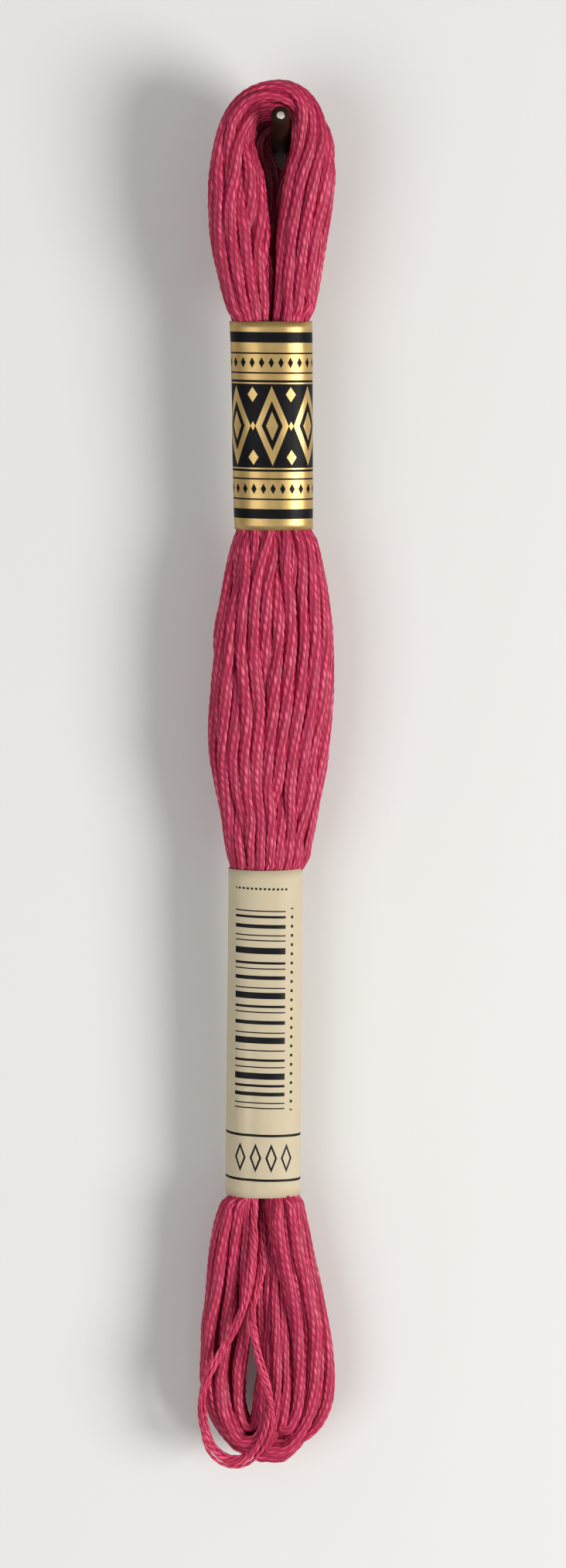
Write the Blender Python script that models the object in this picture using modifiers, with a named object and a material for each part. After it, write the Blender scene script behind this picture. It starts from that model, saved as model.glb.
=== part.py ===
"""Skein of six-strand embroidery floss, held by two paper bands and hung on a steel nail.

The row frame has +X to the skein's right as it is looked at, +Y into the wall and +Z up.
Its origin is the middle of the nail's root face, on the wall. All sizes are in metres; the
tables are in millimetres, and are scaled by MM as they are read. Heights in the tables run
from a datum inside the upper loop, which lies a little above the nail's root.

The floss is wound in one long ring, which is doubled over the nail. So its turns make one
loop at the top, round the nail, and two at the bottom, and between them they run together
in one trunk, which the paper bands draw in at two waists.
"""

import math
from typing import NamedTuple

import bmesh
import bpy
import numpy as np
from mathutils import Matrix

MM = 0.001

# Steel nail: it slopes up from its root to its end, which keeps the skein on it.
NAIL_DIAMETER = 2.2 * MM
NAIL_LENGTH = 17.0 * MM
NAIL_SLOPE = math.radians(20.0)
NAIL_DOME = 0.5 * MM
NAIL_DOME_STEPS = 5
NAIL_SIDES = 36
NAIL_ROOT = 3.0 * MM
WALL_CUTTER = 12.0 * MM

# Lie of the skein: how far its middle stands off the wall at its top and at its bottom.
DATUM_ABOVE_ROOT = 4.0 * MM
TOP_Z = 6.4 * MM
BOTTOM_Z = -158.8 * MM
TOP_OFF_WALL = 10.5 * MM
BOTTOM_OFF_WALL = 5.6 * MM

# The top of the upper loop lies on the nail's slope, from its front to its back. Between
# these heights that slant fades away, and below them the front and the back are level.
FRONT_OFF_WALL = 14.7 * MM
SLANT_STARTS = -12.0 * MM
SLANT_IS_FULL = 0.0

# Cuts across a bundle of floss are squarish ovals, ridged by the turns on the outside of it.
# The valleys between ridges are a little deeper here and there, in waves along the bundle,
# and shallower where the bundle is thin.
SQUARENESS = 2.3
OUTLINE_STEPS = 240
POINTS_A_RIDGE = 3
RIDGE_DEPTH = 0.34 * MM
MOST_RIDGE_SHARE = 0.09
RIDGE_UNEVEN = 0.4
RIDGE_WAVE = 31.0 * MM
RIDGE_PHASE = 0.37
LONGEST_FREE_SPAN = 10.0 * MM
BAND_STEPS = 2

# Paper bands.
BAND_WALL = 0.5 * MM
BAND_GAP = 0.3 * MM
BAND_POINTS = 56

# Slack turns of floss, which hang free of the others.
SLACK_DIAMETER = 1.15 * MM
SLACK_STEPS_A_POINT = 2
WELD = 0.01 * MM

FLOSS_COLOUR = (0.42, 0.035, 0.115, 1.0)
GOLD_COLOUR = (0.55, 0.40, 0.13, 1.0)
CREAM_COLOUR = (0.76, 0.68, 0.50, 1.0)
STEEL_COLOUR = (0.22, 0.17, 0.14, 1.0)


class Band(NamedTuple):
    """A paper band: the height of its two ends, the x of its sides at each, and its depth."""

    top: float
    top_left: float
    top_right: float
    bottom: float
    bottom_left: float
    bottom_right: float
    depth: float


class Cut(NamedTuple):
    """A level cut across the trunk: its height, the x of its left and right side, and its depth."""

    z: float
    left: float
    right: float
    depth: float


class LoopCut(NamedTuple):
    """A cut across a loop: the x and z of its inner and its outer edge, and its depth."""

    inner_x: float
    inner_z: float
    outer_x: float
    outer_z: float
    depth: float


class Bundle(NamedTuple):
    """How a bundle is made: the ridges round it, the most between cuts, and its turns in a wave's length."""

    ridges: int
    step: float
    twist: float


UPPER_BAND = Band(-22.25, -6.1, 3.8, -46.85, -5.5, 3.9, 6.1)
LOWER_BAND = Band(-87.2, -6.25, 2.6, -126.3, -6.6, 2.45, 5.9)

TRUNK = Bundle(26, 6.2 * MM, 0.05)
UPPER_LOOP = Bundle(15, 3.6 * MM, 0.08)
LOWER_LOOP = Bundle(12, 3.6 * MM, -0.08)

# The trunk from the top down; its cuts inside the bands are worked out from the bands.
TRUNK_CUTS_ABOVE = (
    Cut(-11.0, -2.4, 1.2, 0.9),
    Cut(-13.5, -3.2, 1.8, 2.2),
    Cut(-17.0, -4.4, 2.6, 3.0),
    Cut(-21.3, -4.6, 2.5, 3.2),
)
TRUNK_CUTS_BETWEEN = (
    Cut(-47.7, -5.45, 4.2, 5.4),
    Cut(-50.2, -6.2, 4.9, 5.8),
    Cut(-54.6, -7.2, 5.7, 6.1),
    Cut(-61.3, -8.0, 6.05, 6.2),
    Cut(-67.0, -8.35, 6.0, 6.2),
    Cut(-73.0, -8.55, 5.4, 6.1),
    Cut(-77.0, -8.0, 4.7, 6.0),
    Cut(-80.5, -7.2, 4.15, 5.8),
    Cut(-84.5, -6.5, 3.6, 5.5),
    Cut(-86.6, -6.2, 3.2, 5.1),
)
TRUNK_CUTS_BELOW = (
    Cut(-127.3, -5.2, 1.2, 3.2),
    Cut(-132.0, -6.2, 2.2, 3.2),
    Cut(-138.0, -7.0, 3.2, 3.0),
    Cut(-142.6, -6.2, 2.6, 2.0),
    Cut(-145.6, -4.8, 1.6, 0.8),
)

# The upper loop, from its left end inside the upper band, over the nail, to its right end.
UPPER_LOOP_CUTS = (
    LoopCut(-1.6, -24.4, -4.7, -24.4, 3.2),
    LoopCut(-1.0, -21.9, -5.3, -21.9, 4.6),
    LoopCut(-0.95, -20.7, -6.4, -20.7, 6.0),
    LoopCut(-1.0, -17.2, -7.35, -17.2, 6.3),
    LoopCut(-1.2, -12.4, -8.25, -12.4, 6.4),
    LoopCut(-1.5, -8.4, -8.6, -8.0, 6.5),
    LoopCut(-1.9, -4.6, -8.55, -5.2, 6.7),
    LoopCut(-2.8, -1.6, -8.1, -1.8, 7.0),
    LoopCut(-3.1, 0.5, -7.3, 1.7, 7.4),
    LoopCut(-2.8, 2.0, -5.7, 4.5, 7.9),
    LoopCut(-1.9, 2.9, -3.2, 6.5, 8.2),
    LoopCut(-0.6, 3.1, -0.4, 7.6, 8.4),
    LoopCut(0.6, 3.0, 2.1, 7.0, 8.3),
    LoopCut(1.5, 2.2, 4.3, 5.2, 8.0),
    LoopCut(1.6, 0.6, 5.7, 2.5, 7.6),
    LoopCut(1.2, -1.6, 6.4, -0.6, 7.1),
    LoopCut(0.55, -4.4, 6.5, -4.6, 6.7),
    LoopCut(0.1, -8.2, 6.15, -8.4, 6.5),
    LoopCut(-0.3, -12.4, 5.55, -12.4, 6.4),
    LoopCut(-0.65, -17.2, 4.85, -17.2, 6.3),
    LoopCut(-0.8, -20.7, 4.15, -20.7, 6.0),
    LoopCut(-0.8, -21.9, 3.0, -21.9, 4.6),
    LoopCut(-0.4, -24.4, 2.4, -24.4, 3.2),
)

# The two lower loops, each from its outer end inside the lower band to its inner end there.
LEFT_LOOP_CUTS = (
    LoopCut(-3.0, -124.2, -5.3, -124.2, 3.0),
    LoopCut(-2.7, -126.7, -5.8, -126.7, 4.4),
    LoopCut(-2.8, -128.1, -7.15, -127.9, 5.2),
    LoopCut(-2.9, -132.5, -8.35, -132.0, 5.4),
    LoopCut(-3.1, -138.0, -9.2, -137.6, 5.5),
    LoopCut(-3.4, -143.0, -9.6, -143.0, 5.6),
    LoopCut(-3.6, -147.6, -9.75, -148.2, 5.6),
    LoopCut(-3.5, -150.8, -9.3, -152.6, 5.6),
    LoopCut(-3.2, -152.5, -7.4, -156.1, 5.5),
    LoopCut(-2.75, -153.2, -4.6, -158.0, 5.5),
    LoopCut(-2.3, -152.6, -1.7, -157.5, 5.5),
    LoopCut(-2.1, -151.2, -0.4, -154.6, 5.4),
    LoopCut(-2.05, -147.6, 0.2, -149.0, 5.2),
    LoopCut(-2.3, -143.0, 0.1, -143.4, 5.0),
    LoopCut(-2.5, -138.0, -0.3, -138.0, 4.8),
    LoopCut(-2.45, -132.5, -0.9, -132.0, 4.5),
    LoopCut(-2.3, -127.0, -1.3, -127.0, 3.6),
    LoopCut(-2.3, -124.2, -1.5, -124.2, 2.6),
)
RIGHT_LOOP_CUTS = (
    LoopCut(-1.0, -124.2, 1.1, -124.2, 3.0),
    LoopCut(-1.2, -126.7, 1.7, -126.7, 4.4),
    LoopCut(-1.1, -128.1, 2.75, -127.9, 5.2),
    LoopCut(-0.8, -132.5, 3.7, -132.2, 5.4),
    LoopCut(-0.3, -138.0, 5.05, -137.8, 5.5),
    LoopCut(0.0, -143.0, 5.85, -143.2, 5.6),
    LoopCut(0.2, -148.0, 6.0, -148.4, 5.6),
    LoopCut(0.5, -151.4, 5.3, -152.6, 5.6),
    LoopCut(0.4, -153.0, 3.5, -155.7, 5.5),
    LoopCut(0.1, -153.6, 0.9, -157.8, 5.4),
    LoopCut(-0.25, -153.0, -1.7, -157.4, 5.4),
    LoopCut(-0.35, -151.4, -2.5, -153.6, 5.2),
    LoopCut(-0.1, -148.0, -2.3, -149.4, 5.0),
    LoopCut(-0.35, -143.0, -2.1, -143.6, 4.8),
    LoopCut(-0.9, -138.0, -2.3, -138.4, 4.5),
    LoopCut(-1.3, -132.5, -2.5, -132.6, 4.4),
    LoopCut(-1.4, -127.0, -2.4, -127.0, 3.4),
    LoopCut(-1.4, -124.2, -2.2, -124.2, 2.4),
)

# Slack turns that hang out of the lower loops: points down the middle of each, as its x, its
# z and how far it lies in front of the skein's middle.
SLACK_TURNS = (
    (
        (-4.1, -137.2, 1.4),
        (-5.2, -141.4, 2.8),
        (-7.0, -146.0, 3.2),
        (-9.0, -150.0, 3.0),
        (-9.35, -153.2, 2.5),
        (-8.5, -156.4, 2.1),
        (-6.2, -158.25, 1.9),
        (-3.7, -157.9, 2.4),
        (-1.9, -156.0, 3.1),
        (-1.2, -152.8, 3.4),
        (-1.7, -148.6, 3.3),
        (-2.5, -144.4, 3.0),
        (-2.8, -140.6, 2.1),
        (-2.7, -138.0, 1.2),
    ),
    (
        (-4.6, -139.6, 1.4),
        (-5.9, -143.6, 2.7),
        (-7.6, -148.0, 3.1),
        (-8.35, -152.0, 2.8),
        (-7.6, -155.0, 2.4),
        (-5.4, -156.9, 2.3),
        (-3.3, -156.3, 2.8),
        (-2.2, -153.6, 3.1),
        (-2.3, -149.6, 2.9),
        (-2.8, -145.6, 2.3),
        (-3.1, -142.6, 1.2),
    ),
    (
        (3.2, -142.0, 0.2),
        (5.0, -145.4, 0.6),
        (5.65, -149.4, 0.8),
        (5.1, -153.0, 0.9),
        (3.5, -155.4, 1.0),
        (1.6, -156.2, 0.8),
        (0.2, -155.6, 0.2),
    ),
)


def clear_scene():
    for obj in list(bpy.data.objects):
        bpy.data.objects.remove(obj, do_unlink=True)


def make_collection(name, shown):
    collection = bpy.data.collections.new(name)
    collection.hide_render = not shown
    bpy.context.scene.collection.children.link(collection)
    return collection


def make_material(name, colour, roughness, metallic=0.0):
    material = bpy.data.materials.new(name)
    material.use_nodes = True
    shader = material.node_tree.nodes["Principled BSDF"]
    shader.inputs["Base Color"].default_value = colour
    shader.inputs["Roughness"].default_value = roughness
    shader.inputs["Metallic"].default_value = metallic
    material.diffuse_color = colour
    return material


def add_object(name, mesh, collection, material=None):
    obj = bpy.data.objects.new(name, mesh)
    if material:
        mesh.materials.append(material)
    else:
        obj.hide_render = True
        obj.display_type = "WIRE"
    collection.objects.link(obj)
    return obj


def middle_y(z):
    """The y of the skein's middle at a height: it leans towards the wall as it goes down."""
    share = (TOP_Z - z) / (TOP_Z - BOTTOM_Z)
    return -TOP_OFF_WALL + (TOP_OFF_WALL - BOTTOM_OFF_WALL) * share


def row_point(x, y, z):
    """The row frame's point for a table's x and z and a y off the wall: it adds the slant and the datum."""
    share = np.clip((z - SLANT_STARTS) / (SLANT_IS_FULL - SLANT_STARTS), 0.0, 1.0)
    slant = share * share * (3 - 2 * share) * math.tan(NAIL_SLOPE)
    return x, y, z + DATUM_ABOVE_ROOT - slant * (y + FRONT_OFF_WALL)


def curves_through(knots, values, at):
    """Reads smooth curves through the values at the knots; between two knots they never overshoot."""
    spans = np.diff(knots)
    slopes = np.diff(values, axis=0) / spans[:, None]
    before, after = slopes[:-1], slopes[1:]
    alike = before * after > 0
    tangents = np.zeros_like(values)
    tangents[0], tangents[-1] = slopes[0], slopes[-1]
    tangents[1:-1] = np.where(alike, 2 * before * after / np.where(alike, before + after, 1), 0)
    span = np.clip(np.searchsorted(knots, at, side="right") - 1, 0, len(spans) - 1)
    wide = spans[span][:, None]
    t = (at - knots[span])[:, None] / wide
    return (
        values[span] * (2 * t**3 - 3 * t**2 + 1)
        + values[span + 1] * (3 * t**2 - 2 * t**3)
        + tangents[span] * wide * (t**3 - 2 * t**2 + t)
        + tangents[span + 1] * wide * (t**3 - t**2)
    )


def oval(width, depth, count, start):
    """Points evenly round a squarish oval, and the outward normal at each; start is a share of a turn."""
    angle = np.linspace(0, 2 * math.pi, OUTLINE_STEPS + 1)
    power = 2 / SQUARENESS
    across = np.sign(np.cos(angle)) * np.abs(np.cos(angle)) ** power * width / 2
    front = -np.sign(np.sin(angle)) * np.abs(np.sin(angle)) ** power * depth / 2
    steps = np.hypot(np.diff(across), np.diff(front))
    along = np.concatenate([[0], np.cumsum(steps)])
    at = (np.arange(count) / count + start) % 1.0 * along[-1]
    points = np.stack([np.interp(at, along, across), np.interp(at, along, front)], axis=1)
    edges = np.roll(points, -1, axis=0) - np.roll(points, 1, axis=0)
    normals = np.stack([-edges[:, 1], edges[:, 0]], axis=1)
    return points, normals / np.linalg.norm(normals, axis=1)[:, None]


def cut_places(cuts, step):
    """More cuts between those of a table, and how far along each one lies.

    They are a step or less apart at the outer edge. A span longer than any of the free floss
    lies inside a band, straight and hidden, and gets few.
    """
    table = np.array(cuts) * MM
    spans = np.linalg.norm(np.diff(table[:, 2:4], axis=0), axis=1)
    knots = np.concatenate([[0], np.cumsum(spans)])
    at = [0.0]
    for start, span in zip(knots, spans):
        steps = BAND_STEPS if span > LONGEST_FREE_SPAN else math.ceil(span / step)
        at.extend(start + span * (i + 1) / steps for i in range(steps))
    return curves_through(knots, table, np.array(at)), np.array(at)


def loft_mesh(name, rings):
    """A closed surface through rings of points, with a flat face at each end."""
    built = bmesh.new()
    made = [[built.verts.new(point) for point in ring] for ring in rings]
    for ring, following in zip(made, made[1:]):
        for k, corner in enumerate(ring):
            after = (k + 1) % len(ring)
            built.faces.new((corner, ring[after], following[after], following[k]))
    built.faces.new(made[0])
    built.faces.new(made[-1])
    bmesh.ops.recalc_face_normals(built, faces=built.faces)
    mesh = bpy.data.meshes.new(name)
    built.to_mesh(mesh)
    built.free()
    mesh.shade_smooth()
    return mesh


def bundle_mesh(name, cuts, bundle):
    """A bundle of floss through its cuts, with a ridge for each turn that lies on its outside."""
    count = bundle.ridges * POINTS_A_RIDGE
    ridge = np.arange(count) // POINTS_A_RIDGE
    valley = np.arange(count) % POINTS_A_RIDGE == 0
    rings = []
    for cut, along in zip(*cut_places(cuts, bundle.step)):
        inner, outer, depth = cut[0:2], cut[2:4], cut[4]
        width = np.linalg.norm(outer - inner)
        points, normals = oval(width, depth, count, bundle.twist * along / RIDGE_WAVE)
        swell = np.sin(2 * math.pi * (along / RIDGE_WAVE + ridge * RIDGE_PHASE))
        deepest = min(RIDGE_DEPTH, MOST_RIDGE_SHARE * min(width, depth))
        sink = valley * deepest * (1 + RIDGE_UNEVEN * swell)
        points = points - normals * sink[:, None]
        places = (inner + outer) / 2 + points[:, :1] * (outer - inner) / width
        y = middle_y(places[:, 1]) + points[:, 1]
        rings.append(np.stack(row_point(places[:, 0], y, places[:, 1]), axis=1))
    return loft_mesh(name, rings)


def level_cuts(cuts):
    """The trunk's cuts as loop cuts, whose inner edge is on the left."""
    return [LoopCut(cut.left, cut.z, cut.right, cut.z, cut.depth) for cut in cuts]


def waist_cuts(band):
    """The trunk's cuts at the two ends of a band, which clear the paper all round."""
    inset = (BAND_WALL + BAND_GAP) / MM
    depth = band.depth - 2 * inset
    return (
        Cut(band.top, band.top_left + inset, band.top_right - inset, depth),
        Cut(band.bottom, band.bottom_left + inset, band.bottom_right - inset, depth),
    )


def trunk_cuts():
    above = TRUNK_CUTS_ABOVE + waist_cuts(UPPER_BAND)
    return level_cuts(above + TRUNK_CUTS_BETWEEN + waist_cuts(LOWER_BAND) + TRUNK_CUTS_BELOW)


def slack_turn_mesh(name, points):
    """One turn of floss on its own, as a round curve made into a mesh."""
    curve = bpy.data.curves.new(name, "CURVE")
    curve.dimensions = "3D"
    curve.bevel_depth = SLACK_DIAMETER / 2
    curve.bevel_resolution = 1
    curve.use_fill_caps = True
    curve.resolution_u = SLACK_STEPS_A_POINT
    spline = curve.splines.new("BEZIER")
    spline.bezier_points.add(len(points) - 1)
    for place, (x, z, in_front) in zip(spline.bezier_points, points):
        place.co = row_point(x * MM, middle_y(z * MM) - in_front * MM, z * MM)
        place.handle_left_type = place.handle_right_type = "AUTO"
    guide = bpy.data.objects.new(name + "_guide", curve)
    bpy.context.scene.collection.objects.link(guide)
    bpy.context.view_layer.update()
    mesh = bpy.data.meshes.new_from_object(guide.evaluated_get(bpy.context.evaluated_depsgraph_get()))
    bpy.data.objects.remove(guide, do_unlink=True)
    welded = bmesh.new()
    welded.from_mesh(mesh)
    bmesh.ops.remove_doubles(welded, verts=welded.verts, dist=WELD)
    bmesh.ops.recalc_face_normals(welded, faces=welded.faces)
    welded.to_mesh(mesh)
    welded.free()
    return mesh


def build_hank(collection, makers, material):
    """The wound floss: the trunk, with its three loops and its slack turns joined to it."""
    hank = add_object("hank", bundle_mesh("hank", trunk_cuts(), TRUNK), collection, material)
    pieces = {
        "upper_loop": bundle_mesh("upper_loop", UPPER_LOOP_CUTS, UPPER_LOOP),
        "left_loop": bundle_mesh("left_loop", LEFT_LOOP_CUTS, LOWER_LOOP),
        "right_loop": bundle_mesh("right_loop", RIGHT_LOOP_CUTS, LOWER_LOOP),
    }
    for i, points in enumerate(SLACK_TURNS, start=1):
        pieces[f"slack_turn_{i}"] = slack_turn_mesh(f"slack_turn_{i}", points)
    for name, mesh in pieces.items():
        join = hank.modifiers.new(name, "BOOLEAN")
        join.operation = "UNION"
        join.solver = "EXACT"
        join.object = add_object(name, mesh, makers)
    return hank


def build_band(name, band, collection, material):
    """A paper band: an oval tube, drawn on its outside and thickened inwards."""
    rings = []
    ends = (
        (band.top, band.top_left, band.top_right),
        (band.bottom, band.bottom_left, band.bottom_right),
    )
    for z, left, right in ends:
        points, _ = oval((right - left) * MM, band.depth * MM, BAND_POINTS, 0.0)
        x = (left + right) / 2 * MM + points[:, 0]
        y = middle_y(z * MM) + points[:, 1]
        rings.append(np.stack(row_point(x, y, np.full(BAND_POINTS, z * MM)), axis=1))
    built = bmesh.new()
    upper, lower = ([built.verts.new(point) for point in ring] for ring in rings)
    for k in range(BAND_POINTS):
        after = (k + 1) % BAND_POINTS
        built.faces.new((upper[k], upper[after], lower[after], lower[k]))
    mesh = bpy.data.meshes.new(name)
    built.to_mesh(mesh)
    built.free()
    mesh.shade_smooth()
    obj = add_object(name, mesh, collection, material)
    wall = obj.modifiers.new("paper", "SOLIDIFY")
    wall.thickness = BAND_WALL
    wall.offset = -1.0
    wall.use_even_offset = True
    return obj


def nail_profile():
    """The nail's side, from the middle of its domed end down to its root."""
    radius = NAIL_DIAMETER / 2
    dome = [i * math.pi / 2 / NAIL_DOME_STEPS for i in range(NAIL_DOME_STEPS + 1)]
    end = [(radius * math.sin(a), NAIL_LENGTH - NAIL_DOME * (1 - math.cos(a))) for a in dome]
    return [*end, (radius, -NAIL_ROOT), (0.0, -NAIL_ROOT)]


def build_nail(collection, makers, material):
    """The nail: a turned profile laid along its slope, and cut off flush with the wall."""
    mesh = bpy.data.meshes.new("nail")
    profile = [(r, 0.0, z) for r, z in nail_profile()]
    mesh.from_pydata(profile, [(i, i + 1) for i in range(len(profile) - 1)], [])
    nail = add_object("nail", mesh, collection, material)
    nail.rotation_euler = (math.pi / 2 - NAIL_SLOPE, 0.0, 0.0)
    turn = nail.modifiers.new("turn", "SCREW")
    turn.steps = turn.render_steps = NAIL_SIDES
    turn.use_merge_vertices = True
    turn.merge_threshold = WELD
    turn.use_smooth_shade = True
    block = bmesh.new()
    bmesh.ops.create_cube(block, size=WALL_CUTTER)
    bmesh.ops.transform(block, matrix=Matrix.Translation((0, WALL_CUTTER / 2, 0)), verts=block.verts)
    wall = bpy.data.meshes.new("wall_cutter")
    block.to_mesh(wall)
    block.free()
    cut = nail.modifiers.new("flush", "BOOLEAN")
    cut.operation = "DIFFERENCE"
    cut.solver = "EXACT"
    cut.object = add_object("wall_cutter", wall, makers)
    return nail


def main():
    clear_scene()
    skein = make_collection("skein of embroidery floss on a nail", shown=True)
    makers = make_collection("pieces joined and cut away", shown=False)
    build_hank(skein, makers, make_material("floss", FLOSS_COLOUR, 0.5))
    build_band("upper_band", UPPER_BAND, skein, make_material("gold paper", GOLD_COLOUR, 0.4))
    build_band("lower_band", LOWER_BAND, skein, make_material("cream paper", CREAM_COLOUR, 0.6))
    build_nail(skein, makers, make_material("steel", STEEL_COLOUR, 0.35, metallic=1.0))


main()
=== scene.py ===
# %% [markdown]
# # A skein of embroidery floss on a nail
# The real thing is one thread of six-strand cotton, about eight metres long, wound in a ring
# that is doubled over a nail. We take thirteen turns, so 52 runs of thread hang side by side.
# Two paper bands hold them together. This lesson lays the runs inside the outline that the
# photograph shows, spins a thread along each, and then prints the bands and lights the scene.

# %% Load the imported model
import math

import bpy
import numpy as np
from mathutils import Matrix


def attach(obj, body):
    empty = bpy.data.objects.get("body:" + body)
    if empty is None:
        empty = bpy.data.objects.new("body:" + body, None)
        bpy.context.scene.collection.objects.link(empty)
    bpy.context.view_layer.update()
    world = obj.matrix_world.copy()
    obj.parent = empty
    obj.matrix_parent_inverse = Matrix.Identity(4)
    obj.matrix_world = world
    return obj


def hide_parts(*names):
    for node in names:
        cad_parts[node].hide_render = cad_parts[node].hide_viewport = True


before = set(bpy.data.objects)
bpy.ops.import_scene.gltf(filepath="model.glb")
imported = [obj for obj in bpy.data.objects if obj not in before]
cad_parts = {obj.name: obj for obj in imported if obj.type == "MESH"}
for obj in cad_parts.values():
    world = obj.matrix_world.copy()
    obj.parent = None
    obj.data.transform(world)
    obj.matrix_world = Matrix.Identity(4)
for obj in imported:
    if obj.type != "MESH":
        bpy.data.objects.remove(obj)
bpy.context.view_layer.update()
MM = 0.001

# %% [markdown]
# ## The lie of the skein
# The thread hangs from a sloping nail and leans towards the wall as it goes down. The tables
# below are in millimetres on the plane of the photograph. One function adds the lean and the
# nail's slope, so that every piece uses the same rule and lands where the solid model is.

# %% From the tables to the model's frame
DATUM_ABOVE_ROOT = 4.0
TOP_Z, BOTTOM_Z = 6.4, -158.8
TOP_OFF_WALL, BOTTOM_OFF_WALL = 10.5, 5.6
FRONT_OFF_WALL = 14.7
SLANT_STARTS, SLANT_IS_FULL = -12.0, 0.0
NAIL_SLOPE = math.radians(20.0)


def middle_y(z):
    """How far the skein's middle lies from the wall at a height, as a y."""
    share = (TOP_Z - z) / (TOP_Z - BOTTOM_Z)
    return -TOP_OFF_WALL + (TOP_OFF_WALL - BOTTOM_OFF_WALL) * share


def row_points(x, y, z):
    """Points of the model's frame, in metres, for a table's x and z and a y off the wall."""
    share = np.clip((z - SLANT_STARTS) / (SLANT_IS_FULL - SLANT_STARTS), 0.0, 1.0)
    slant = share * share * (3 - 2 * share) * math.tan(NAIL_SLOPE)
    height = z + DATUM_ABOVE_ROOT - slant * (y + FRONT_OFF_WALL)
    return np.stack(np.broadcast_arrays(x, y, height), axis=-1) * MM


print("the nail's datum is at", row_points(0.0, -FRONT_OFF_WALL, 0.0) / MM)

# %% [markdown]
# ## Smooth curves through a few measures
# Measures are taken only every few millimetres. Two kinds of curve fill in the rest. The
# first never overshoots between two measures, which suits widths and depths. The second
# bends evenly through its points, which suits the path of a thread.


# %% Two kinds of curve
def steady_curve(knots, values, at):
    """Reads curves through the values at the knots that never overshoot between two knots."""
    spans = np.diff(knots)
    slopes = np.diff(values, axis=0) / spans[:, None]
    before, after = slopes[:-1], slopes[1:]
    alike = before * after > 0
    tangents = np.zeros_like(values)
    tangents[0], tangents[-1] = slopes[0], slopes[-1]
    tangents[1:-1] = np.where(alike, 2 * before * after / np.where(alike, before + after, 1), 0)
    return hermite(knots, values, tangents, at)


def hermite(knots, values, tangents, at):
    """Reads the curves with these values and these slopes at the knots."""
    span = np.clip(np.searchsorted(knots, at, side="right") - 1, 0, len(knots) - 2)
    wide = (knots[span + 1] - knots[span])[:, None]
    t = (at - knots[span])[:, None] / wide
    return (
        values[span] * (2 * t**3 - 3 * t**2 + 1)
        + values[span + 1] * (3 * t**2 - 2 * t**3)
        + tangents[span] * wide * (t**3 - 2 * t**2 + t)
        + tangents[span + 1] * wide * (t**3 - t**2)
    )


def even_bend(knots, values, at):
    """Reads smooth curves through the values at the knots, whose slopes are evened out."""
    return hermite(knots, values, np.gradient(values, knots, axis=0), at)


def lengths_along(points):
    """How far along a line of points each point lies."""
    steps = np.linalg.norm(np.diff(points, axis=0), axis=1)
    return np.concatenate([[0.0], np.cumsum(steps)])


knots, values = np.array([0.0, 1.0, 2.0]), np.array([[0.0], [1.0], [1.0]])
for curve in (steady_curve, even_bend):
    print(curve.__name__, "halfway to the last knot:", curve(knots, values, np.array([1.5]))[0, 0])

# %% [markdown]
# ## Outlines of the bundles
# Between the bands the runs of thread swell and draw in, and at the ends they part into
# loops. Each bundle is given as a few cuts across it: the x and z of its inner and its outer
# edge, its depth, and how far its middle stands in front of the skein's own middle. The cuts
# inside a band are squeezed, because the paper holds the thread tight there.

# %% Cuts across the bundles, in millimetres
UPPER_LOOP_CUTS = (
    (-1.2, -34.0, -5.0, -34.0, 4.4, 0),
    (-1.2, -26.0, -5.4, -26.0, 5.0, 0),
    (-1.15, -22.6, -5.7, -22.6, 5.2, 0),
    (-0.95, -20.7, -6.4, -20.7, 6.0, 0),
    (-0.9, -17.2, -7.35, -17.2, 6.3, 0),
    (-1.1, -12.4, -8.25, -12.4, 6.4, 0),
    (-1.5, -8.4, -8.6, -8.0, 6.5, 0),
    (-1.9, -4.6, -8.55, -5.2, 6.7, 0),
    (-2.8, -1.6, -8.1, -1.8, 7.0, 0),
    (-3.1, 0.5, -7.3, 1.7, 7.4, 0),
    (-2.8, 1.9, -5.6, 4.3, 7.9, 0),
    (-1.9, 2.65, -3.0, 6.1, 8.2, 0),
    (-0.6, 2.75, -0.4, 6.85, 8.4, 0),
    (0.6, 2.6, 1.8, 6.5, 8.3, 0),
    (1.3, 2.0, 3.8, 4.9, 8.0, 0),
    (1.4, 0.6, 5.3, 2.5, 7.6, 0),
    (1.2, -1.6, 6.4, -0.6, 7.1, 0),
    (0.55, -4.4, 6.5, -4.6, 6.7, 0),
    (0.1, -8.2, 6.15, -8.4, 6.5, 0),
    (-0.45, -12.4, 5.55, -12.4, 6.4, 0),
    (-0.8, -17.2, 4.85, -17.2, 6.3, 0),
    (-0.9, -20.7, 4.15, -20.7, 6.0, 0),
    (-1.0, -22.6, 3.4, -22.6, 5.2, 0),
    (-1.0, -26.0, 3.2, -26.0, 5.0, 0),
    (-1.0, -34.0, 3.0, -34.0, 4.4, 0),
)
MIDDLE_CUTS = (
    (-5.0, -34.0, 3.0, -34.0, 4.4, 0),
    (-5.0, -43.0, 3.3, -43.0, 4.8, 0),
    (-5.2, -46.8, 3.65, -46.8, 5.3, 0),
    (-5.5, -47.9, 4.2, -47.9, 5.6, 0),
    (-6.2, -50.2, 4.9, -50.2, 5.9, 0),
    (-7.2, -54.6, 5.7, -54.6, 6.1, 0),
    (-8.1, -61.3, 6.35, -61.3, 6.2, 0),
    (-8.45, -67.0, 6.35, -67.0, 6.2, 0),
    (-8.65, -73.0, 5.85, -73.0, 6.1, 0),
    (-8.1, -77.0, 5.15, -77.0, 6.0, 0),
    (-7.3, -80.5, 4.5, -80.5, 5.8, 0),
    (-6.65, -84.5, 3.75, -84.5, 5.5, 0),
    (-6.2, -86.9, 3.3, -86.9, 5.2, 0),
    (-6.1, -87.6, 2.6, -87.6, 5.1, 0),
    (-5.7, -91.0, 2.1, -91.0, 4.8, 0),
    (-5.6, -106.5, 1.6, -106.5, 4.4, 0),
)
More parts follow.
